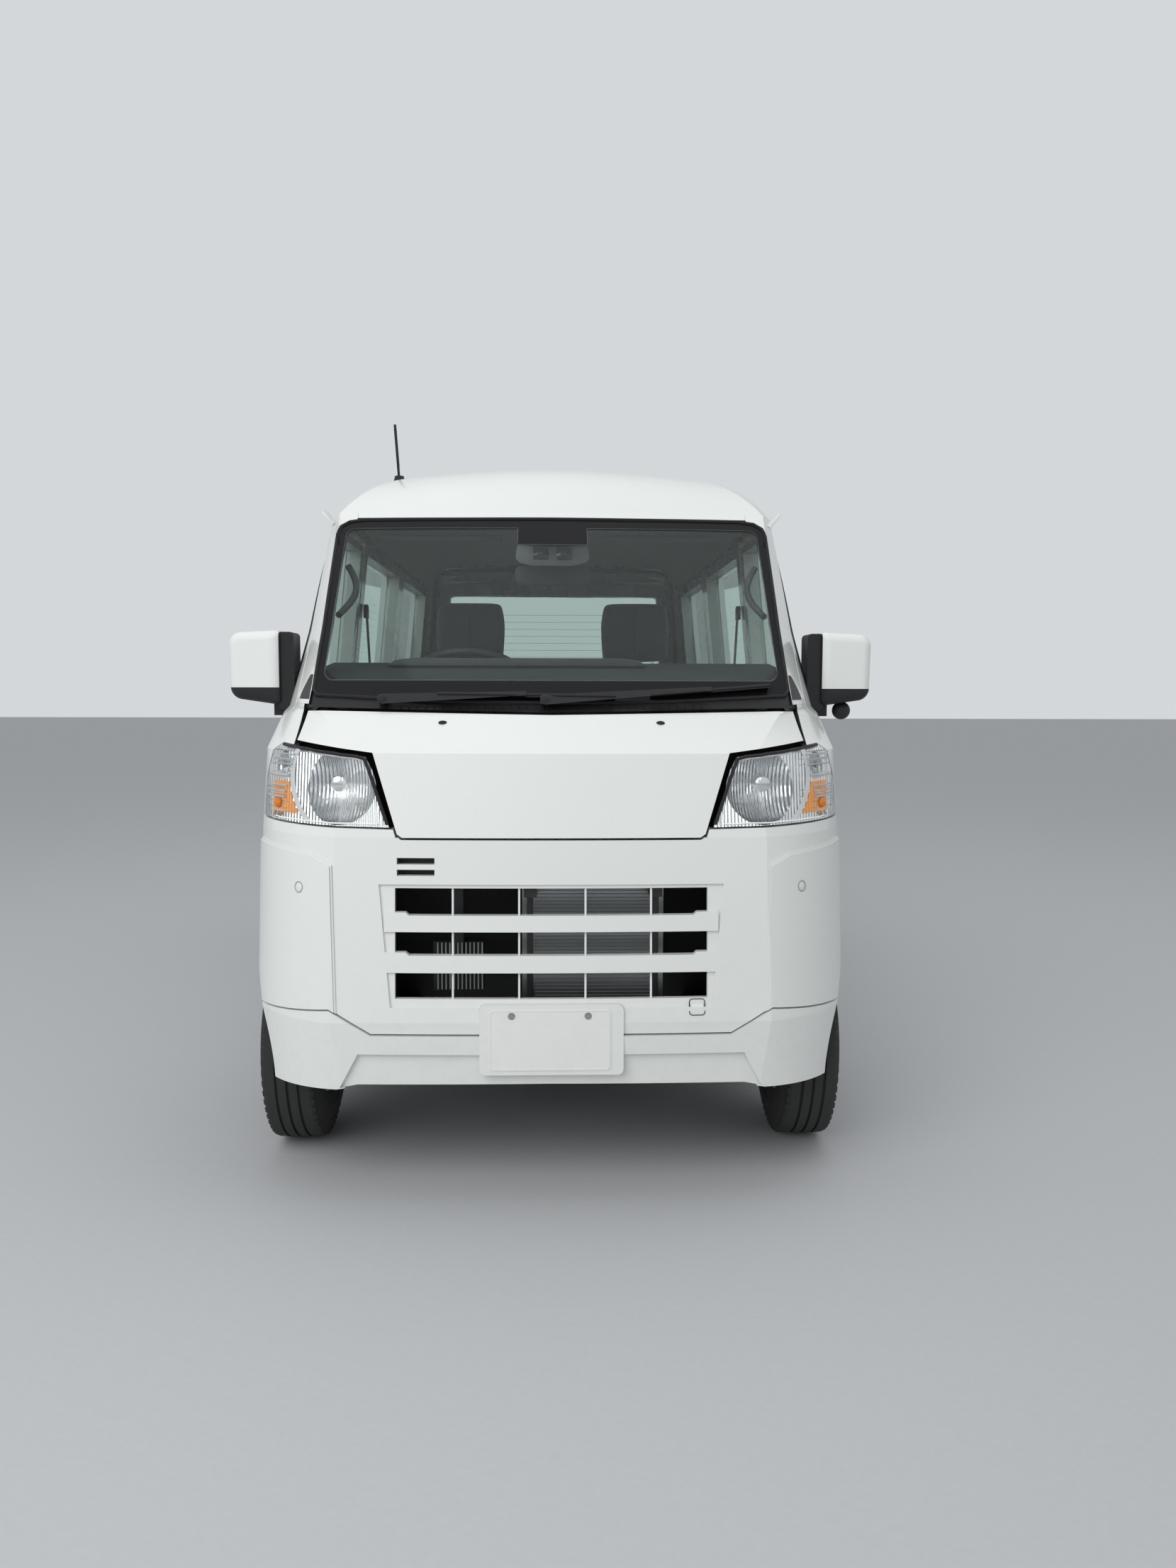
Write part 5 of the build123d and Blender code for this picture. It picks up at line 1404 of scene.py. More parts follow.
@dataclass
class Upholstery:
    """Stuffs the seats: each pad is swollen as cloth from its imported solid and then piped."""

    nodes: dict[str, bpy.types.Object]
    voxel: float = 0.010
    pressure: float = 4.0
    frames: int = 20
    cap: float = 0.016
    shrink: float = 0.004
    rounding: int = 30
    seat_x: float = 0.285
    head_foot: float = 1.272

    def build(self) -> None:
        """Builds both seats' cushions, backs and head rests."""
        for side in Side:
            x = side.value
            word = side.word
            cushion = self.pad(f"seat_cushion_{word}", "seat_cushions", side, None, True, 0.6)
            back = self.pad(f"seat_back_{word}", "seat_backs", side, self.head_foot - 0.012, False, 0.6)
            head = self.pad(f"head_rest_{word}", "seat_backs", side, self.head_foot, True, 0.8)
            self.pipe(cushion, f"cushion_seams_{word}", x, (0, 0, -1), (0.975, 1.365), 1.2)
            self.pipe(back, f"back_seams_{word}", x, (0, 1, 0), (0.76, 1.235), 0.5)
            self.pipe(head, f"head_seams_{word}", x, (0, 1, 0), (1.295, 1.455), 0.5, (0.0,))
            posts = Form()
            for off in (-0.06, 0.06):
                foot = (x * self.seat_x + off, nose(1.474), 1.235)
                posts.sweep([foot, (foot[0], nose(1.477), 1.335)], 0.0055, sides=3)
            posts.piece(f"head_rest_posts_{word}", LAMP_CHROME)

    def pad(
        self, name: str, node: str, side: Side, cut: float | None, above: bool, fill: float,
    ) -> bpy.types.Object:
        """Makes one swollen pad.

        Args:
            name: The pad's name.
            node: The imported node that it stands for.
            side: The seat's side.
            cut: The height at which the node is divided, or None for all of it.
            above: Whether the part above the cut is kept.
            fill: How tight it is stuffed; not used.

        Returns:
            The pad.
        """
        mesh = bmesh.new()
        mesh.from_mesh(self.nodes[node].data)
        bmesh.ops.remove_doubles(mesh, verts=mesh.verts[:], dist=1e-5)
        planes = [((0, 0, 0), (-side.value, 0, 0))]
        if cut is not None:
            planes.append(((0, 0, cut), (0, 0, -1 if above else 1)))
        for place, normal in planes:
            geom = mesh.verts[:] + mesh.edges[:] + mesh.faces[:]
            bmesh.ops.bisect_plane(mesh, geom=geom, plane_co=place, plane_no=normal, clear_outer=True)
            bmesh.ops.holes_fill(mesh, edges=[e for e in mesh.edges if e.is_boundary])
        data = bpy.data.meshes.new(name)
        mesh.to_mesh(data)
        mesh.free()
        shape = bpy.data.objects.new(name, data)
        bpy.context.scene.collection.objects.link(shape)
        grid = shape.modifiers.new("grid", "REMESH")
        grid.mode = "VOXEL"
        grid.voxel_size = self.voxel
        self.settle(shape)
        round_off = shape.modifiers.new("round_off", "SMOOTH")
        round_off.factor = 0.5
        round_off.iterations = self.rounding * (2 if name.startswith("head_rest") else 1)
        self.settle(shape)
        for vertex, normal in zip(shape.data.vertices, [v.normal.copy() for v in shape.data.vertices]):
            vertex.co -= normal * self.shrink
        self.inflate(shape)
        soft = shape.modifiers.new("soft", "SUBSURF")
        soft.levels = soft.render_levels = 1
        self.settle(shape)
        shape.data.shade_smooth()
        shape.data.materials.append(SEAT_CLOTH.material())
        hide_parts(node)
        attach(shape, "body")
        LOG.info("pad %s: %d faces", name, len(shape.data.polygons))
        return shape

    def settle(self, shape: bpy.types.Object) -> None:
        """Applies the object's modifiers to its mesh."""
        seen = shape.evaluated_get(bpy.context.evaluated_depsgraph_get())
        data = bpy.data.meshes.new_from_object(seen)
        shape.modifiers.clear()
        shape.data = data

    def inflate(self, shape: bpy.types.Object) -> None:
        """Swells the mesh by cloth pressure and caps how far each point moves."""
        rest = [v.co.copy() for v in shape.data.vertices]
        cloth = shape.modifiers.new("cloth", "CLOTH")
        cloth.settings.use_pressure = True
        cloth.settings.uniform_pressure_force = self.pressure
        cloth.settings.effector_weights.gravity = 0.0
        cloth.point_cache.frame_end = self.frames
        for frame in range(1, self.frames + 1):
            bpy.context.scene.frame_set(frame)
        self.settle(shape)
        bpy.context.scene.frame_set(1)
        for vertex, start in zip(shape.data.vertices, rest):
            move = vertex.co - start
            if move.length > self.cap:
                vertex.co = start + move * (self.cap / move.length)

    def pipe(
        self, pad: bpy.types.Object, name: str, sign: int, way: Point, run: Pair, start: float,
        columns: Sequence[float] = (-0.085, 0.085),
    ) -> None:
        """Lays sewn seams over a pad.

        Args:
            pad: The pad.
            name: The seams' name.
            sign: The sign of the seat's X.
            way: The direction in which the seams press on the pad.
            run: The seams' extent along the pad, as depth or height.
            start: Where the rays start, as height or depth.
            columns: The seams' distances from the seat's middle.
        """
        tree = BVHTree.FromObject(pad, bpy.context.evaluated_depsgraph_get())
        form = Form()
        for column in columns:
            line = []
            for k in range(25):
                at = run[0] + (run[1] - run[0]) * k / 24
                x = sign * self.seat_x + column
                origin = (x, nose(at), start) if way[2] else (x, nose(start), at)
                met = tree.ray_cast(Vector(origin), Vector(way))[0]
                if met is not None:
                    line.append(met)
            if len(line) > 3:
                form.sweep(line, 0.0022)
        form.piece(name, SEAM_THREAD)


@dataclass
class Cabin:
    """Fittings of the cabin: dashboard, controls, trims, belts, roof fittings and mats."""

    skin: Skin
    wheel_centre: Point = (-0.250, nose(0.938), 1.176)
    wheel_tilt: float = 50.0
    header_z: float = 1.668

    def build(self) -> None:
        """Builds every fitting of the cabin."""
        self.build_wheel_cover()
        self.build_dashboard()
        self.build_controls()
        self.build_roof_fittings()
        self.build_headliner()
        for side in Side:
            self.build_trims(side)
        self.build_floor()

    def build_wheel_cover(self) -> None:
        """Builds the steering wheel's plain cover and the seam round it."""
        tilt = math.radians(self.wheel_tilt)
        run = Vector((0, math.cos(tilt), math.sin(tilt)))
        centre = Vector(self.wheel_centre)
        cover = Form().lathe(
            [
                (0, 0.014), (0.030, 0.013), (0.052, 0.007), (0.061, -0.004), (0.063, -0.014), (0, -0.014)
            ], centre, run, 48,
        )
        cover.piece("steering_wheel_cover", DASH_GRAIN, "steering_wheel")
        front, up = centre + run * 0.004, run.cross(Vector((1, 0, 0)))
        turns = [math.tau * k / 48 for k in range(48)]
        ring = [front + Vector((math.cos(a), 0, 0)) * 0.0655 + up * math.sin(a) * 0.0655 for a in turns]
        Form().sweep(ring, 0.0012, closed=True).piece("steering_wheel_seam", SEAL_RUBBER, "steering_wheel")

    def build_dashboard(self) -> None:
        """Builds the raised pad, vents, radio panel, heater knobs, glove box lid and instruments."""
        hood = Form().slab(
            [(x, nose(0.600), z) for x, z in (
                (-0.455, 1.246), (-0.430, 1.262), (-0.380, 1.2685), (0.190, 1.2685), (0.238, 1.262),
                (0.262, 1.246),
            )], (0, 0.20, 0), 0.004,
        )
        hood.piece("dash_raised_pad", DASH_GRAIN)
        face = nose(0.846)
        vents = Form()
        slats = Form()
        for x in (-0.545, -0.055, 0.075, 0.545):
            ring = upright((x, face + 0.002, 1.185), 0.098, 0.066, 0.012)
            vents.sweep(ring, 0.0045, closed=True)
            for k in range(5):
                slats.box(
                    (x - 0.044, face - 0.002, 1.162 + 0.0105 * k),
                    (x + 0.044, face + 0.004, 1.1645 + 0.0105 * k), 0.0008, 1)
        vents.piece("dash_vent_frames", GREY_TRIM)
        slats.piece("dash_vent_slats", BLACK_GRAIN)
        panel = Form().slab(upright((0.010, nose(0.838), 1.085), 0.190, 0.100, 0.010), (0, 0.007, 0), 0.002)
        panel.piece("radio_panel", BLACK_GRAIN)
        knobs = Form()
        for x in (-0.055, 0.010, 0.075):
            knobs.lathe(
                [(0, 0.020), (0.014, 0.019), (0.017, 0.015), (0.019, 0), (0, 0)], (x, nose(0.812), 1.005),
                (0, 1, -0.12), 28)
        knobs.piece("heater_knobs", GREY_TRIM)
        lid = Form().slab(upright((0.385, nose(0.8205), 1.035), 0.340, 0.130, 0.014), (0, 0.006, 0), 0.002)
        lid.piece("glove_box_lid", DASH_GRAIN)
        pod = Form().slab(
            [
                (x, nose(0.836), z)
                for x, z in (
                    (-0.375, 1.205), (-0.360, 1.236), (-0.140, 1.236), (-0.125, 1.205), (-0.150, 1.150),
                    (-0.350, 1.150))
            ],
            (0, 0.014, 0), 0.003,
        )
        pod.piece("instrument_pod", BLACK_GRAIN)
        dials = Form()
        for x, radius in ((-0.250, 0.036), (-0.325, 0.021), (-0.175, 0.021)):
            bezel = [
                (radius, 0), (radius, 0.004), (radius - 0.003, 0.004), (radius - 0.004, 0.0015), (0, 0.001),
                (0, 0)]
            dials.lathe(bezel, (x, nose(0.8495), 1.194), (0, 1, 0), 36)
        dials.piece("instrument_dials", GREY_TRIM)

    def build_controls(self) -> None:
        """Builds stalks, gear lever and pedals."""
        stalks = Form()
        for sign in (-1, 1):
            root = Vector((-0.250 + sign * 0.040, nose(0.888), 1.128))
            tip = root + Vector((sign * 0.120, -0.004, 0.028))
            stalks.sweep(
                [root, root.lerp(tip, 0.4), tip], 0.0062, sides=3).ball(tip, (0.016, 0.009, 0.009), 14)
        stalks.piece("column_stalks", BLACK_GRAIN)
        lever = Form()
        foot = Vector((0.010, nose(0.822), 0.930))
        top = foot + Vector((0.0, 0.075, 0.080))
        lever.sweep([foot, foot.lerp(top, 0.5) + Vector((0, 0, 0.006)), top], 0.0058, sides=3)
        lever.ball(top, (0.022, 0.022, 0.027), 20)
        lever.piece("gear_lever", BLACK_GRAIN)
        folds = [
            (0.046, 0), (0.040, 0.008), (0.032, 0.013), (0.026, 0.023), (0.014, 0.032), (0.007, 0.040),
            (0, 0.040), (0, 0)]
        boot = Form().lathe(folds, foot - Vector((0, 0.014, 0.010)), (0, 0.75, 0.62), 32)
        boot.piece("gear_lever_boot", SEAL_RUBBER)
        pedals = Form()
        for x, wide in ((-0.365, 0.058), (-0.265, 0.058), (-0.175, 0.042)):
            pedals.box((x - wide / 2, nose(0.452), 0.520), (x + wide / 2, nose(0.462), 0.585), 0.004)
            pedals.sweep(
                [(x, nose(0.450), 0.560), (x, nose(0.420), 0.660), (x, nose(0.365), 0.800)], 0.0055, sides=2
            )
            for k in range(4):
                pedals.box(
                    (x - wide / 2 + 0.005, nose(0.461), 0.528 + 0.014 * k),
                    (x + wide / 2 - 0.005, nose(0.4645), 0.533 + 0.014 * k), 0.001, 1)
        pedals.piece("pedals", SEAL_RUBBER)

    def build_roof_fittings(self) -> None:
        """Builds the camera unit, inner mirror, sun visors and roof lamp."""
        unit = Form().slab(
            [(x, nose(0.792), z) for x, z in (
                (-0.108, 1.560), (-0.098, 1.545), (-0.060, 1.536), (0.060, 1.536), (0.098, 1.545),
                (0.108, 1.560),
                (0.100, 1.600), (-0.100, 1.600),
            )], (0, 0.075, 0.018), 0.006,
        )
        unit.piece("camera_unit", CAMERA_GREY)
        eyes = Form()
        for sign in (-1, 1):
            window = [
                (sign * 0.034 + px * 0.92, nose(0.7885), 1.5725 + pz)
                for px, pz in rounded(0.050, 0.036, 0.006)]
            eyes.slab(window, (0, 0.006, 0), 0.0015)
            eyes.disc((sign * 0.034, nose(0.7885), 1.575), (0, -1, 0), 0.008, 0.003, 0.001, 24)
        eyes.piece("camera_windows", CAMERA_BLACK)
        back = Form().slab(upright((0.0, nose(0.905), 1.520), 0.225, 0.062, 0.020), (0, 0.018, 0.002), 0.006)
        back.sweep(
            [(0, nose(0.915), 1.545), (0, nose(0.900), 1.585), (0, nose(0.862), 1.608)], 0.008, sides=3)
        back.piece("inner_mirror_shell", BLACK_GRAIN)
        glass = Form().slab(upright((0.0, nose(0.9232), 1.522), 0.210, 0.050, 0.016), (0, 0.0015, 0), 0.0004)
        glass.piece("inner_mirror_glass", MIRROR_SILVER)
        visors = Form()
        for sign in (-1, 1):
            middle = sign * 0.335
            board = [
                (middle + px, nose(0.930 + 0.50 * (pz + 0.075)), 1.652 - 0.10 * (0.075 - pz))
                for px, pz in rounded(0.370, 0.140, 0.028)]
            visors.slab(board, (0, 0.004, -0.014), 0.005)
        visors.piece("sun_visors", HEADLINER_CLOTH)
        lamp = Form().slab(
            [(px, nose(1.500) + pz, 1.792) for px, pz in rounded(0.110, 0.070, 0.014)], (0, 0, -0.016),
            0.005)
        lamp.piece("roof_lamp", BULB_GLASS)

    def build_headliner(self) -> None:
        """Lines the roof's inside."""
        rows = []
        for k in range(23):
            y = nose(0.985 + 2.20 * k / 22)
            row = []
            for j in range(13):
                x = -0.500 + 1.000 * j / 12
                met = self.skin.hit("roof", (x, y, 1.35), (0, 0, 1))
                row.append(Vector((x, y, met.z - 0.010)) if met.z > 1.36 else None)
            if any(p is None for p in row):
                continue
            reach = min(abs(self.wall(sign, y, self.header_z)) for sign in (-1, 1)) - 0.012
            ends = [Vector((sign * reach, y, self.header_z)) for sign in (-1, 1)]
            middles = [
                end.lerp(inner, 0.5) + Vector((0, 0, 0.012)) for end, inner in zip(ends, (row[0], row[-1]))]
            rows.append([ends[0], middles[0], *row, middles[1], ends[1]])
        if len(rows) > 1:
            Form().quilt(rows, 0.003).piece("headliner", HEADLINER_CLOTH, "body", 60)

    def wall(self, sign: int, y: float, z: float) -> float:
        """Returns the X of the side's inner face at that place."""
        nodes = ("roof", "body_sides", "sliding_doors")
        found = [self.skin.hit(node, (sign * 0.30, y, z), (sign, 0, 0)).x for node in nodes]
        known = [abs(x) for x in found if abs(x) > 0.45]
        return min(known) if known else 0.60

    def build_trims(self, side: Side) -> None:
        """Builds one side's door card, side panels, grab handle and seat belt.

        Args:
            side: The vehicle's side.
        """
        word = side.word
        door = f"door_{word}"
        card = self.side_panel(door, side, (0.640, 1.295), (0.690, 1.055), 0.010)
        card.piece(f"door_card_{word}", TRIM_DARK, door)
        rest = Form()
        at = self.skin.hit(door, (0.30 * side.value, nose(1.0), 0.88), (side.value, 0, 0))
        rest.box((abs(at.x) - 0.058, nose(0.86), 0.855), (abs(at.x) - 0.008, nose(1.16), 0.885), 0.012, 3)
        rest.on(side, "door_arm_rest", BLACK_GRAIN, door)
        panel = self.side_panel("sliding_doors", side, (1.375, 2.255), (0.690, 1.055), 0.008)
        panel.piece(f"sliding_door_card_{word}", TRIM_DARK)
        quarter = self.side_panel("body_sides", side, (2.330, 3.150), (0.700, 1.055), 0.008)
        quarter.piece(f"quarter_trim_{word}", TRIM_DARK)
        self.build_grab_handle(side)
        self.build_belt(side)

    def side_panel(self, node: str, side: Side, run: Pair, rows: Pair, thick: float) -> Form:
        """Returns a panel laid on the inner face of a side node.

        Args:
            node: The node that it lies on.
            side: The vehicle's side.
            run: Its extent in depth behind the nose.
            rows: Its extent in height.
            thick: How far it stands off the node.
        """
        grid = []
        for k in range(9):
            z = rows[0] + (rows[1] - rows[0]) * k / 8
            row = []
            for j in range(15):
                y = nose(run[0] + (run[1] - run[0]) * j / 14)
                met = self.skin.hit(node, (0.30 * side.value, y, z), (side.value, 0, 0))
                x = met.x if abs(met.x) > 0.45 else None
                row.append((x, y, z))
            known = [p[0] for p in row if p[0] is not None]
            fill = sum(known) / len(known) if known else 0.66 * side.value
            grid.append(
                [((p[0] if p[0] is not None else fill) - side.value * 0.0015, p[1], p[2]) for p in row])
        form = Form().quilt(grid, 0.001)
        stacks: dict[Pair, list[bmesh.types.BMVert]] = {}
        for v in form.mesh.verts:
            stacks.setdefault((round(v.co.y, 4), round(v.co.z, 4)), []).append(v)
        for pair in stacks.values():
            pair.sort(key=lambda v: abs(v.co.x))
            pair[0].co.x -= side.value * thick
        return form

    def build_grab_handle(self, side: Side) -> None:
        """Builds the grab handle on one windshield pillar."""
        points = []
        for k in range(9):
            share = k / 8
            z = 1.385 + 0.150 * share
            y = nose(0.640 + 0.165 * share)
            points.append(
                (0.588 - 0.030 * math.sin(math.pi * share), y + 0.030 * math.sin(math.pi * share), z))
        Form().sweep(points, 0.0095, sides=3).on(side, "pillar_grab_handle", TRIM_DARK)

    def build_belt(self, side: Side) -> None:
        """Builds one front seat's belt, its upper loop and buckle."""
        sign = side.value
        top = Vector((0.632 * sign, nose(1.402), 1.430))
        foot = Vector((0.600 * sign, nose(1.400), 0.760))
        belt = Form()
        rows = []
        for k in range(13):
            share = k / 12
            centre = top.lerp(foot, share)
            rows.append([centre + Vector((0, off, 0)) for off in (-0.023, 0.0, 0.023)])
        belt.quilt(rows, 0.0012)
        belt.piece(f"seat_belt_{side.word}", BELT_WEB)
        loop = Form()
        loop.box((0.6285, nose(1.370), 1.418), (0.6385, nose(1.434), 1.448), 0.004)
        loop.disc((0.640, nose(1.402), 1.450), (-1, 0, 0), 0.016, 0.014, 0.003, 24)
        loop.on(side, "belt_loop", BLACK_GRAIN)
        buckle = Form().box((0.028, nose(1.330), 0.700), (0.044, nose(1.372), 0.800), 0.005)
        buckle.on(side, "belt_buckle", BLACK_GRAIN)

    def build_floor(self) -> None:
        """Lays ribbed mats on the front floor and the load floor."""
        mat = Form().slab(
            [(px, nose(0.660) + pz, 0.4055) for px, pz in rounded(0.800, 0.420, 0.030)], (0, 0, 0.004),
            0.001, 1)
        for k in range(19):
            x = -0.386 + 0.0422 * k
            mat.box((x, nose(0.480), 0.4085), (x + 0.012, nose(0.840), 0.4115), 0.001, 1)
        mat.piece("front_floor_mat", SEAL_RUBBER)
        bed = Form()
        for k in range(17):
            x = -0.500 + 0.0615 * k
            bed.box((x, nose(1.620), 0.6535), (x + 0.016, nose(3.160), 0.6570), 0.0012, 1)
        bed.piece("load_floor_ribs", TRIM_DARK)


# --- doors and sides


@dataclass
class DoorTrim:
    """Rubbers, handles, locks, mirror glass and fuel flap of one side."""

    side: Side
    skin: Skin
    door_window: tuple[Pair, ...] = (
        (0.590, 1.097), (1.272, 1.085), (1.272, 1.628), (1.012, 1.628), (0.615, 1.240), (0.590, 1.180),
    )
    rubber: float = 0.0042

    def build(self) -> None:
        """Builds every trim of this side."""
        word = self.side.word
        door = f"door_{word}"
        self.outline(door, self.door_window, f"door_window_rubber_{word}", door)
        self.outline(
            "sliding_doors", framed(1.410, 2.222, 1.085, 1.628), f"slider_window_rubber_{word}", "body")
        self.outline(
            "body_sides", framed(2.372, 3.190, 1.085, 1.628), f"quarter_window_rubber_{word}", "body")
        self.strip(door, f"door_belt_rubber_{word}", door, 0.600, 1.268)
        self.handle(door, f"door_handle_{word}", door, 1.235, 0.955)
        self.handle("sliding_doors", f"slider_handle_{word}", "body", 1.435, 0.955)
        self.mirror_glass()
        if self.side is Side.LEFT:
            self.fuel_flap()

    def outline(self, node: str, corners_yz: Sequence[Pair], name: str, body: str) -> None:
        """Lays a rubber round a window.

        Args:
            node: The node that carries it.
            corners_yz: The window's corners as depth and height.
            name: The piece's name.
            body: The body that it rides on.
        """
        grown = spread(corners_yz, 0.005)
        line = [p for p in self.skin.side_line(node, self.side, grown, 0.03) if abs(p.x) < SIDE_MISS]
        if len(line) > 8:
            Form().sweep(line, self.rubber, closed=True).piece(name, SEAL_RUBBER, body)

    def strip(self, node: str, name: str, body: str, start: float, end: float) -> None:
        """Lays the flat wiping strip below a door window."""
        rows = []
        for z in (1.066, 1.073, 1.080):
            row = [self.at(node, start + (end - start) * k / 14, z) for k in range(15)]
            rows.append([(p.x + self.side.value * 0.0022, p.y, p.z) for p in row])
        if all(abs(p[0]) < SIDE_MISS for row in rows for p in row):
            Form().quilt(rows, 0.002).piece(name, SEAL_RUBBER, body)

    def at(self, node: str, depth: float, z: float) -> Vector:
        """Returns the point of a side node at that depth and height."""
        return self.skin.beside(node, self.side, nose(depth), z)

    def handle(self, node: str, name: str, body: str, depth: float, z: float) -> None:
        """Builds a pull handle over its cup, with a lock beside it."""
        middle = self.at(node, depth, z)
        out = self.side.value
        cup = Form().slab(
            [
                (middle.x + out * 0.0008, middle.y + py, z + pz) for py, pz in rounded(0.150, 0.062, 0.026)
            ], (out * 0.0016, 0, 0), 0.0006,
        )
        cup.piece(f"{name}_cup", BLACK_GRAIN, body)
        grip = Form()
        line = []
        for k in range(13):
            share = k / 12
            rise = 0.030 * min(1.0, 3.2 * min(share, 1 - share) + 0.12)
            line.append((middle.x + out * rise, middle.y - 0.070 + 0.140 * share, z))
        for height in (-0.006, 0.0, 0.006):
            grip.sweep([(p[0], p[1], p[2] + height) for p in line], 0.0065, sides=3)
        grip.piece(f"{name}_grip", BLACK_GRAIN, body)
        lock = self.at(node, depth + 0.020, z - 0.055)
        Form().disc(
            (lock.x, lock.y, lock.z), (out, 0, 0), 0.012, 0.0028, 0.0008, 28
        ).piece(f"{name}_lock", BOLT_STEEL, body)

    def mirror_glass(self) -> None:
        """Builds the silvered glass in the mirror's rear face."""
        outline = upright((0.806, nose(0.6652), 1.2425), 0.112, 0.168, 0.024)
        glass = Form().slab(outline, (0, 0.0016, 0), 0.0005)
        glass.on(self.side, "mirror_glass", MIRROR_SILVER, f"door_{self.side.word}")

    def fuel_flap(self) -> None:
        """Lays the outline of the fuel flap on the side as a fine dark line, a painted shade for the gap
        round the flap.
        """
        centre = (2.470, 0.845)
        corners_yz = [(centre[0] + py, centre[1] + pz) for py, pz in rounded(0.135, 0.135, 0.020)]
        line = [self.at("body_sides", y, z) for y, z in corners_yz]
        if all(abs(p.x) < SIDE_MISS for p in line):
            # Painted shade: the dark line stands for the shadow in the gap round the flap.
            Form().sweep(line, 0.0014, closed=True).piece("fuel_flap_gap", SEAL_RUBBER)


def framed(start: float, end: float, low: float, high: float, corner: float = 0.045) -> list[Pair]:
    """Returns a window's outline with rounded corners from its extents."""
    middle, height = (start + end) / 2, (low + high) / 2
    return [(middle + py, height + pz) for py, pz in rounded(end - start, high - low, corner)]


def spread(outline: Sequence[Pair], by: float) -> list[Pair]:
    """Returns an outline grown away from its middle.

    Args:
        outline: Its corners in order.
        by: How far each extreme moves out.

    Returns:
        The grown corners.
    """
    mid_y = sum(p[0] for p in outline) / len(outline)
    mid_z = sum(p[1] for p in outline) / len(outline)
    half_y = max(abs(p[0] - mid_y) for p in outline)
    half_z = max(abs(p[1] - mid_z) for p in outline)
    return [
        (mid_y + (y - mid_y) * (1 + by / half_y), mid_z + (z - mid_z) * (1 + by / half_z))
        for y, z in outline]


# --- tail


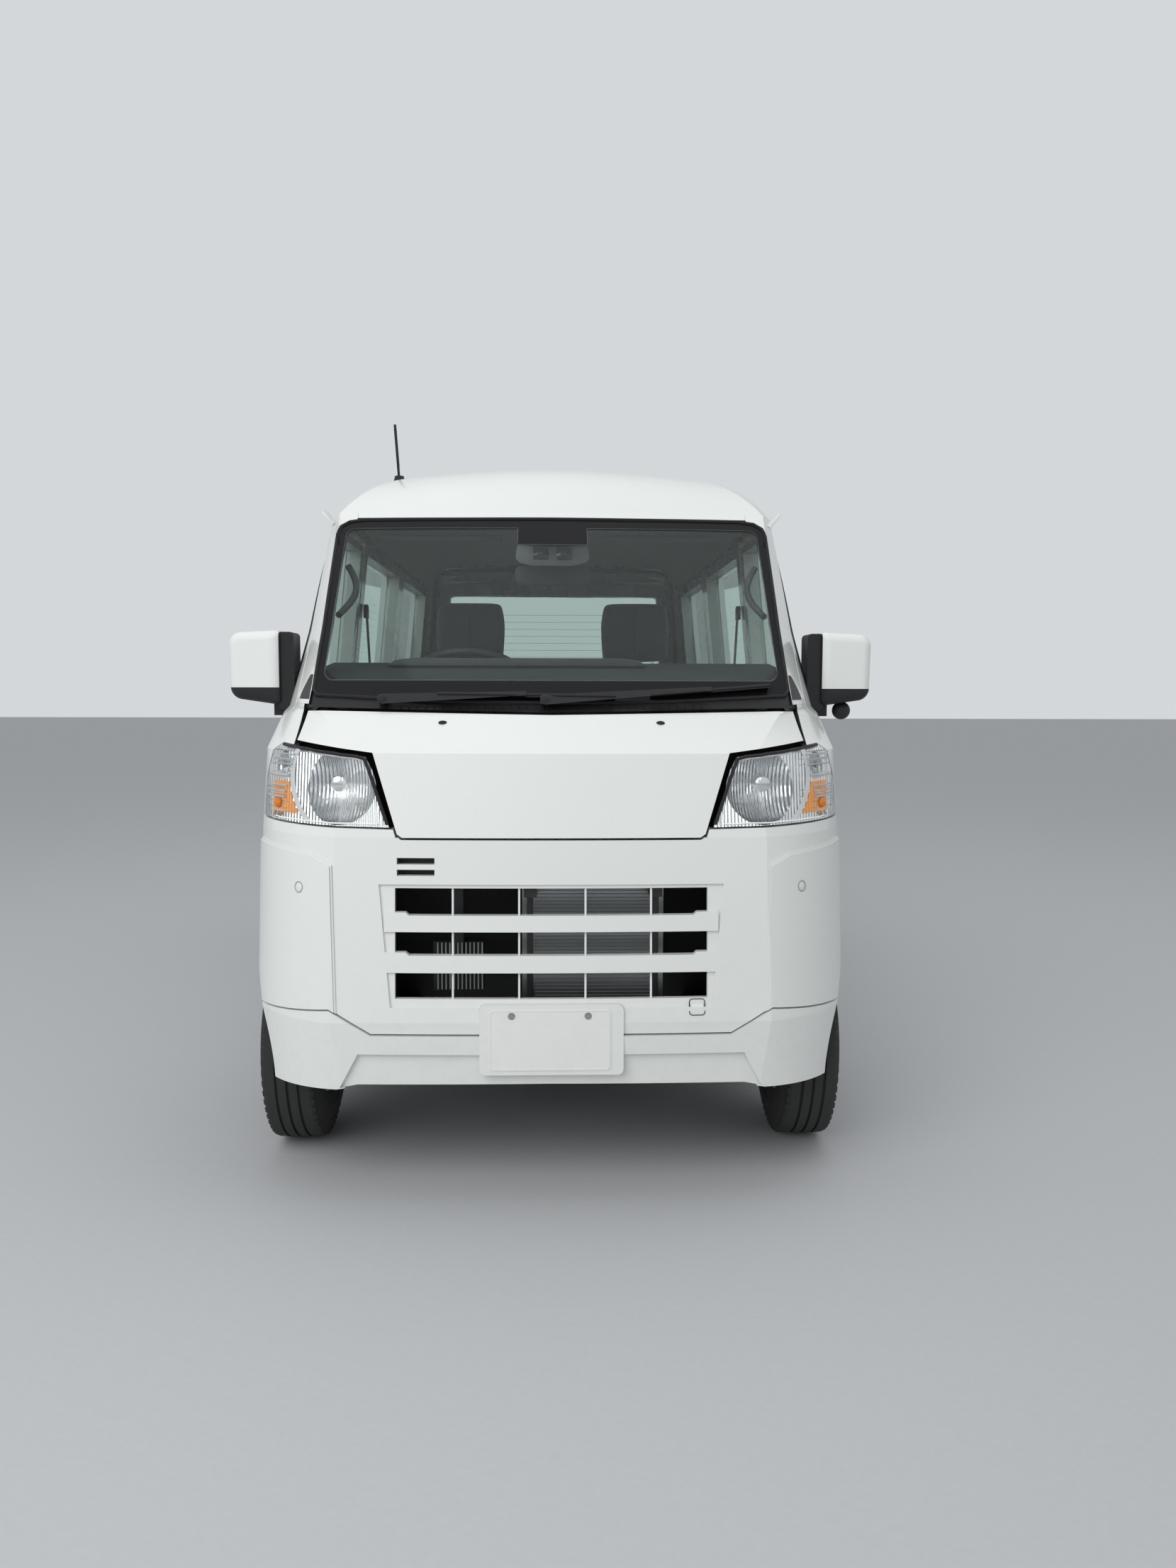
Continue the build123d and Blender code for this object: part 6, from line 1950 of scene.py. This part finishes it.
@dataclass
class Tail:
    """Rear glass fittings, seal, handle, wiper, lamp bars, reflectors and sensors."""

    skin: Skin

    def build(self) -> None:
        """Builds every piece of the tail."""
        half, low, high = 0.528, 1.100, 1.632
        outline = [
            (px, (low + high) / 2 + pz) for px, pz in rounded(2 * half + 0.012, high - low + 0.012, 0.045)]
        line = [p for p in self.skin.rear_line("tailgate", outline, 0.03) if p.y < REAR_MISS]
        if len(line) > 8:
            Form().sweep(line, 0.0045, closed=True).piece("gate_window_rubber", SEAL_RUBBER, "tailgate")
        self.build_seal()
        self.build_heater()
        self.build_handle()
        self.build_wiper()
        self.build_lamps()

    def at(self, node: str, x: float, z: float) -> Vector:
        """Returns the rearmost point of a node at that X and height."""
        return self.skin.behind(node, x, z)

    def build_seal(self) -> None:
        """Builds the rubber that closes the gap round the tailgate from inside."""
        half = [
            (0.614, 0.566), (0.6265, 1.090), (0.582, 1.690), (0.560, 1.735), (0.520, 1.757), (0.0, 1.7645)]
        full = half + [(-x, z) for x, z in half[-2::-1]]
        line = []
        for place in densify([Vector(p) for p in full], 0.04):
            inner = self.skin.hit(
                "tailgate", (place.x * 0.975, nose(2.90), 0.02 + place.y * 0.972), (0, 1, 0))
            if inner.y > nose(3.0):
                line.append((place.x, inner.y - 0.011, place.y))
        if len(line) > 20:
            Form().sweep(line, 0.0095, closed=True, sides=3).piece("tailgate_seal", SEAL_RUBBER)

    def build_heater(self) -> None:
        """Lays the heated wires on the rear glass's inner face."""
        wires = Form()
        for k in range(12):
            z = 1.165 + 0.0345 * k
            line = [
                self.skin.hit("tailgate_glass", (-0.46 + 0.092 * j, 0.5, z), (0, 1, 0)) for j in range(11)]
            kept = [(p.x, p.y - 0.0006, p.z) for p in line if p.y > 0.6]
            if len(kept) > 2:
                wires.sweep(kept, 0.0007, sides=1)
        wires.piece("heated_wires", BOLT_STEEL, "tailgate")

    def build_handle(self) -> None:
        """Builds the handle bar, the lamps over the plate and the lock."""
        at = self.at("tailgate", 0.0, 0.845)
        bar = Form().slab(upright((0.0, at.y - 0.004, 0.845), 0.480, 0.052, 0.012), (0, 0.020, 0), 0.006)
        bar.piece("tailgate_handle_bar", BLACK_GRAIN, "tailgate")
        lamps = Form()
        for x in (-0.105, 0.105):
            lamps.box((x - 0.022, at.y + 0.001, 0.8155), (x + 0.022, at.y + 0.013, 0.8205), 0.001, 1)
        lamps.piece("plate_lamps", BULB_GLASS, "tailgate")
        lock = self.at("tailgate", 0.0, 0.905)
        Form().disc(lock, (0, 1, 0), 0.013, 0.003, 0.001).piece("tailgate_lock", BOLT_STEEL, "tailgate")

    def build_wiper(self) -> None:
        """Builds the rear wiper and the high stop lamp."""
        foot = self.at("tailgate", 0.0, 1.058)
        arm = Form().lathe(
            [(0, 0.030), (0.014, 0.029), (0.019, 0.022), (0.021, 0), (0, 0)], foot, (0, 1, 0), 32)
        tip = self.at("tailgate_glass", 0.300, 1.185)
        arm.sweep(
            [
                foot + Vector((0, 0.022, 0)), foot.lerp(tip, 0.5) + Vector((0, 0.030, 0)),
                tip + Vector((0, 0.016, 0))],
            0.0058, sides=3)
        arm.piece("rear_wiper_arm", BLACK_GRAIN, "tailgate")
        blade = Form()
        spine = [self.at("tailgate_glass", 0.105 + 0.0325 * k, 1.185) for k in range(13)]
        blade.sweep([p + Vector((0, 0.0100, 0)) for p in spine], 0.0042, sides=2)
        blade.sweep([p + Vector((0, 0.0035, 0)) for p in spine], 0.0022, sides=1)
        blade.piece("rear_wiper_blade", SEAL_RUBBER, "tailgate")
        top = self.at("tailgate", 0.0, 1.692)
        stop = Form().slab(upright((0.0, top.y - 0.003, 1.692), 0.230, 0.026, 0.010), (0, 0.010, 0), 0.003)
        stop.piece("high_stop_lamp", TAIL_RED, "tailgate")

    def build_lamps(self) -> None:
        """Builds the tail lamps' dividing bars and the bumper's reflectors and sensors."""
        bars = Form()
        for z in (0.700, 0.795):
            row = [self.at("tail_lamps", 0.652 + 0.009 * k, z) for k in range(12)]
            bars.sweep([p + Vector((0, 0.0003, 0)) for p in row if 0.9 < p.y < REAR_MISS], 0.0022)
        if bars.mesh.verts:
            bars.mirrored().piece("tail_lamp_bars", BLACK_GRAIN)
        marks = Form()
        spot = self.at("rear_bumper", 0.560, 0.470)
        marks.slab(upright((0.560, spot.y - 0.005, 0.470), 0.092, 0.034, 0.008), (0, 0.0062, 0), 0.001)
        marks.mirrored().piece("rear_reflectors", TAIL_RED)
        eyes = Form()
        for x in (0.200, 0.560):
            at = self.at("rear_bumper", x, 0.415)
            eyes.disc(at - Vector((0, 0.003, 0)), (0, 1, 0), 0.012, 0.0040, 0.001, 28)
        eyes.mirrored().piece("rear_sensors", WHITE_BUMPER)


# --- wheels


@dataclass
class WheelTrim:
    """Tyre shoulders and sidewall rings, nuts, cap and valve of one wheel."""

    side: Side
    axle: Axle
    skin: Skin
    lug_count: int = 60
    nut_circle: float = 0.050
    nut_count: int = 4

    def build(self) -> None:
        """Builds this wheel's pieces."""
        word = f"{self.axle.name.lower()}_{self.side.word}"
        body = f"wheel_{word}"
        low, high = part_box(f"tyre_{word}")
        centre = (low + high) / 2
        out = self.side.value
        lugs = Form().box((0.0505, -0.0085, 0.2560), (0.0635, 0.0085, 0.2672), 0.0018, 1)
        lugs.turned((0.057, 0, 0.2615), (0, 1, 0), 22).moved((-0.0015, 0, -0.0022)).mirrored()
        lugs.ring(self.lug_count, (0, 0, 0), (1, 0, 0)).moved(centre)
        lugs.piece(f"tyre_lugs_{word}", TYRE_RUBBER, body, 30)
        rings = Form()
        for radius in (0.186, 0.226):
            for sign in (-1, 1):
                line = []
                for k in range(72):
                    angle = math.tau * k / 72
                    at = Vector((0, math.cos(angle) * radius, math.sin(angle) * radius)) + centre
                    line.append(
                        self.skin.hit(f"tyre_{word}", (centre.x + sign * 0.2, at.y, at.z), (-sign, 0, 0)))
                if all(abs(p.x - centre.x) < 0.15 for p in line):
                    rings.sweep(line, 0.0013, closed=True, sides=1)
        rings.piece(f"sidewall_rings_{word}", TYRE_RUBBER, body)
        face = self.skin.hit(
            f"rim_{word}", (centre.x + out * 0.3, centre.y + self.nut_circle, centre.z), (-out, 0, 0))
        nuts = Form().disc((face.x - out * 0.001, self.nut_circle, 0), (out, 0, 0), 0.0125, 0.003, 0.0008, 24)
        nuts.disc((face.x - out * 0.001, self.nut_circle, 0), (out, 0, 0), 0.0100, 0.017, 0.002, 6)
        nuts.disc((face.x - out * 0.001, self.nut_circle, 0), (out, 0, 0), 0.0062, 0.024, 0.002, 16)
        nuts.ring(self.nut_count, (0, 0, 0), (1, 0, 0)).moved((0, centre.y, centre.z))
        nuts.piece(f"wheel_nuts_{word}", BOLT_STEEL, body)
        hub = self.skin.hit(f"rim_{word}", (centre.x + out * 0.3, centre.y, centre.z + 0.034), (-out, 0, 0))
        cap = Form().lathe(
            [(0, 0.016), (0.012, 0.0155), (0.022, 0.012), (0.0265, 0.005), (0.027, -0.002), (0, -0.002)],
            (hub.x, centre.y, centre.z), (out, 0, 0), 40,
        )
        cap.piece(f"hub_cap_{word}", BLACK_GRAIN, body)
        place = self.skin.hit(f"rim_{word}", (centre.x + out * 0.3, centre.y, centre.z + 0.124), (-out, 0, 0))
        valve = Form().sweep([place, place + Vector((out * 0.022, 0, -0.010))], 0.0036, sides=3)
        valve.disc(place + Vector((out * 0.020, 0, -0.009)), (out, 0, -0.45), 0.0050, 0.009, 0.001, 16)
        valve.piece(f"valve_{word}", SEAL_RUBBER, body)


# --- underside


@dataclass
class Underside:
    """Tank straps and muffler seams seen from below."""

    skin: Skin

    def build(self) -> None:
        """Builds the small parts of the underside."""
        low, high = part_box("fuel_tank")
        straps = Form()
        for share in (0.25, 0.75):
            y = low.y + (high.y - low.y) * share
            line = []
            for k in range(17):
                x = low.x + (high.x - low.x) * k / 16
                at = self.skin.hit("fuel_tank", (x, y, 0.05), (0, 0, 1))
                if at.z > 0.1:
                    line.append(at - Vector((0, 0, 0.001)))
            rows = [[p + Vector((0, off, 0)) for p in line] for off in (-0.016, 0.0, 0.016)]
            if len(line) > 3:
                straps.quilt(rows, 0.002)
        straps.piece("tank_straps", CHASSIS_BLACK)
        seams = Form()
        for y in (2.345, 2.745):
            seams.lathe([(0.0765, -0.004), (0.0765, 0.004), (0.0740, 0.004), (0.0740, -0.004)],
                        (-0.200, nose(y), 0.420), (0, 1, 0), 56, ring=True)
        seams.piece("muffler_seams", EXHAUST_STEEL)


def main() -> None:
    """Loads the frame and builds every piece."""
    logging.basicConfig(level=logging.INFO, format="%(message)s")
    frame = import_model()
    Studio().build()
    dress_nodes(frame["nodes"])
    skin = Skin(frame["nodes"])
    NumberPlate().build("front_plate", "body", (-0.004, nose(0.0038), 0.3815), -1)
    NumberPlate().build("rear_plate", "tailgate", (0.0, nose(3.3722), 0.724), 1)
    for side in Side:
        Headlamp(side, skin).build()
    NoseTrim(skin).build()
    ScreenTrim(skin).build()
    Cabin(skin).build()
    Tail(skin).build()
    Underside(skin).build()
    for side in Side:
        DoorTrim(side, skin).build()
        for axle in Axle:
            WheelTrim(side, axle, skin).build()
    Upholstery(frame["nodes"]).build()


if __name__ == "__main__":
    main()
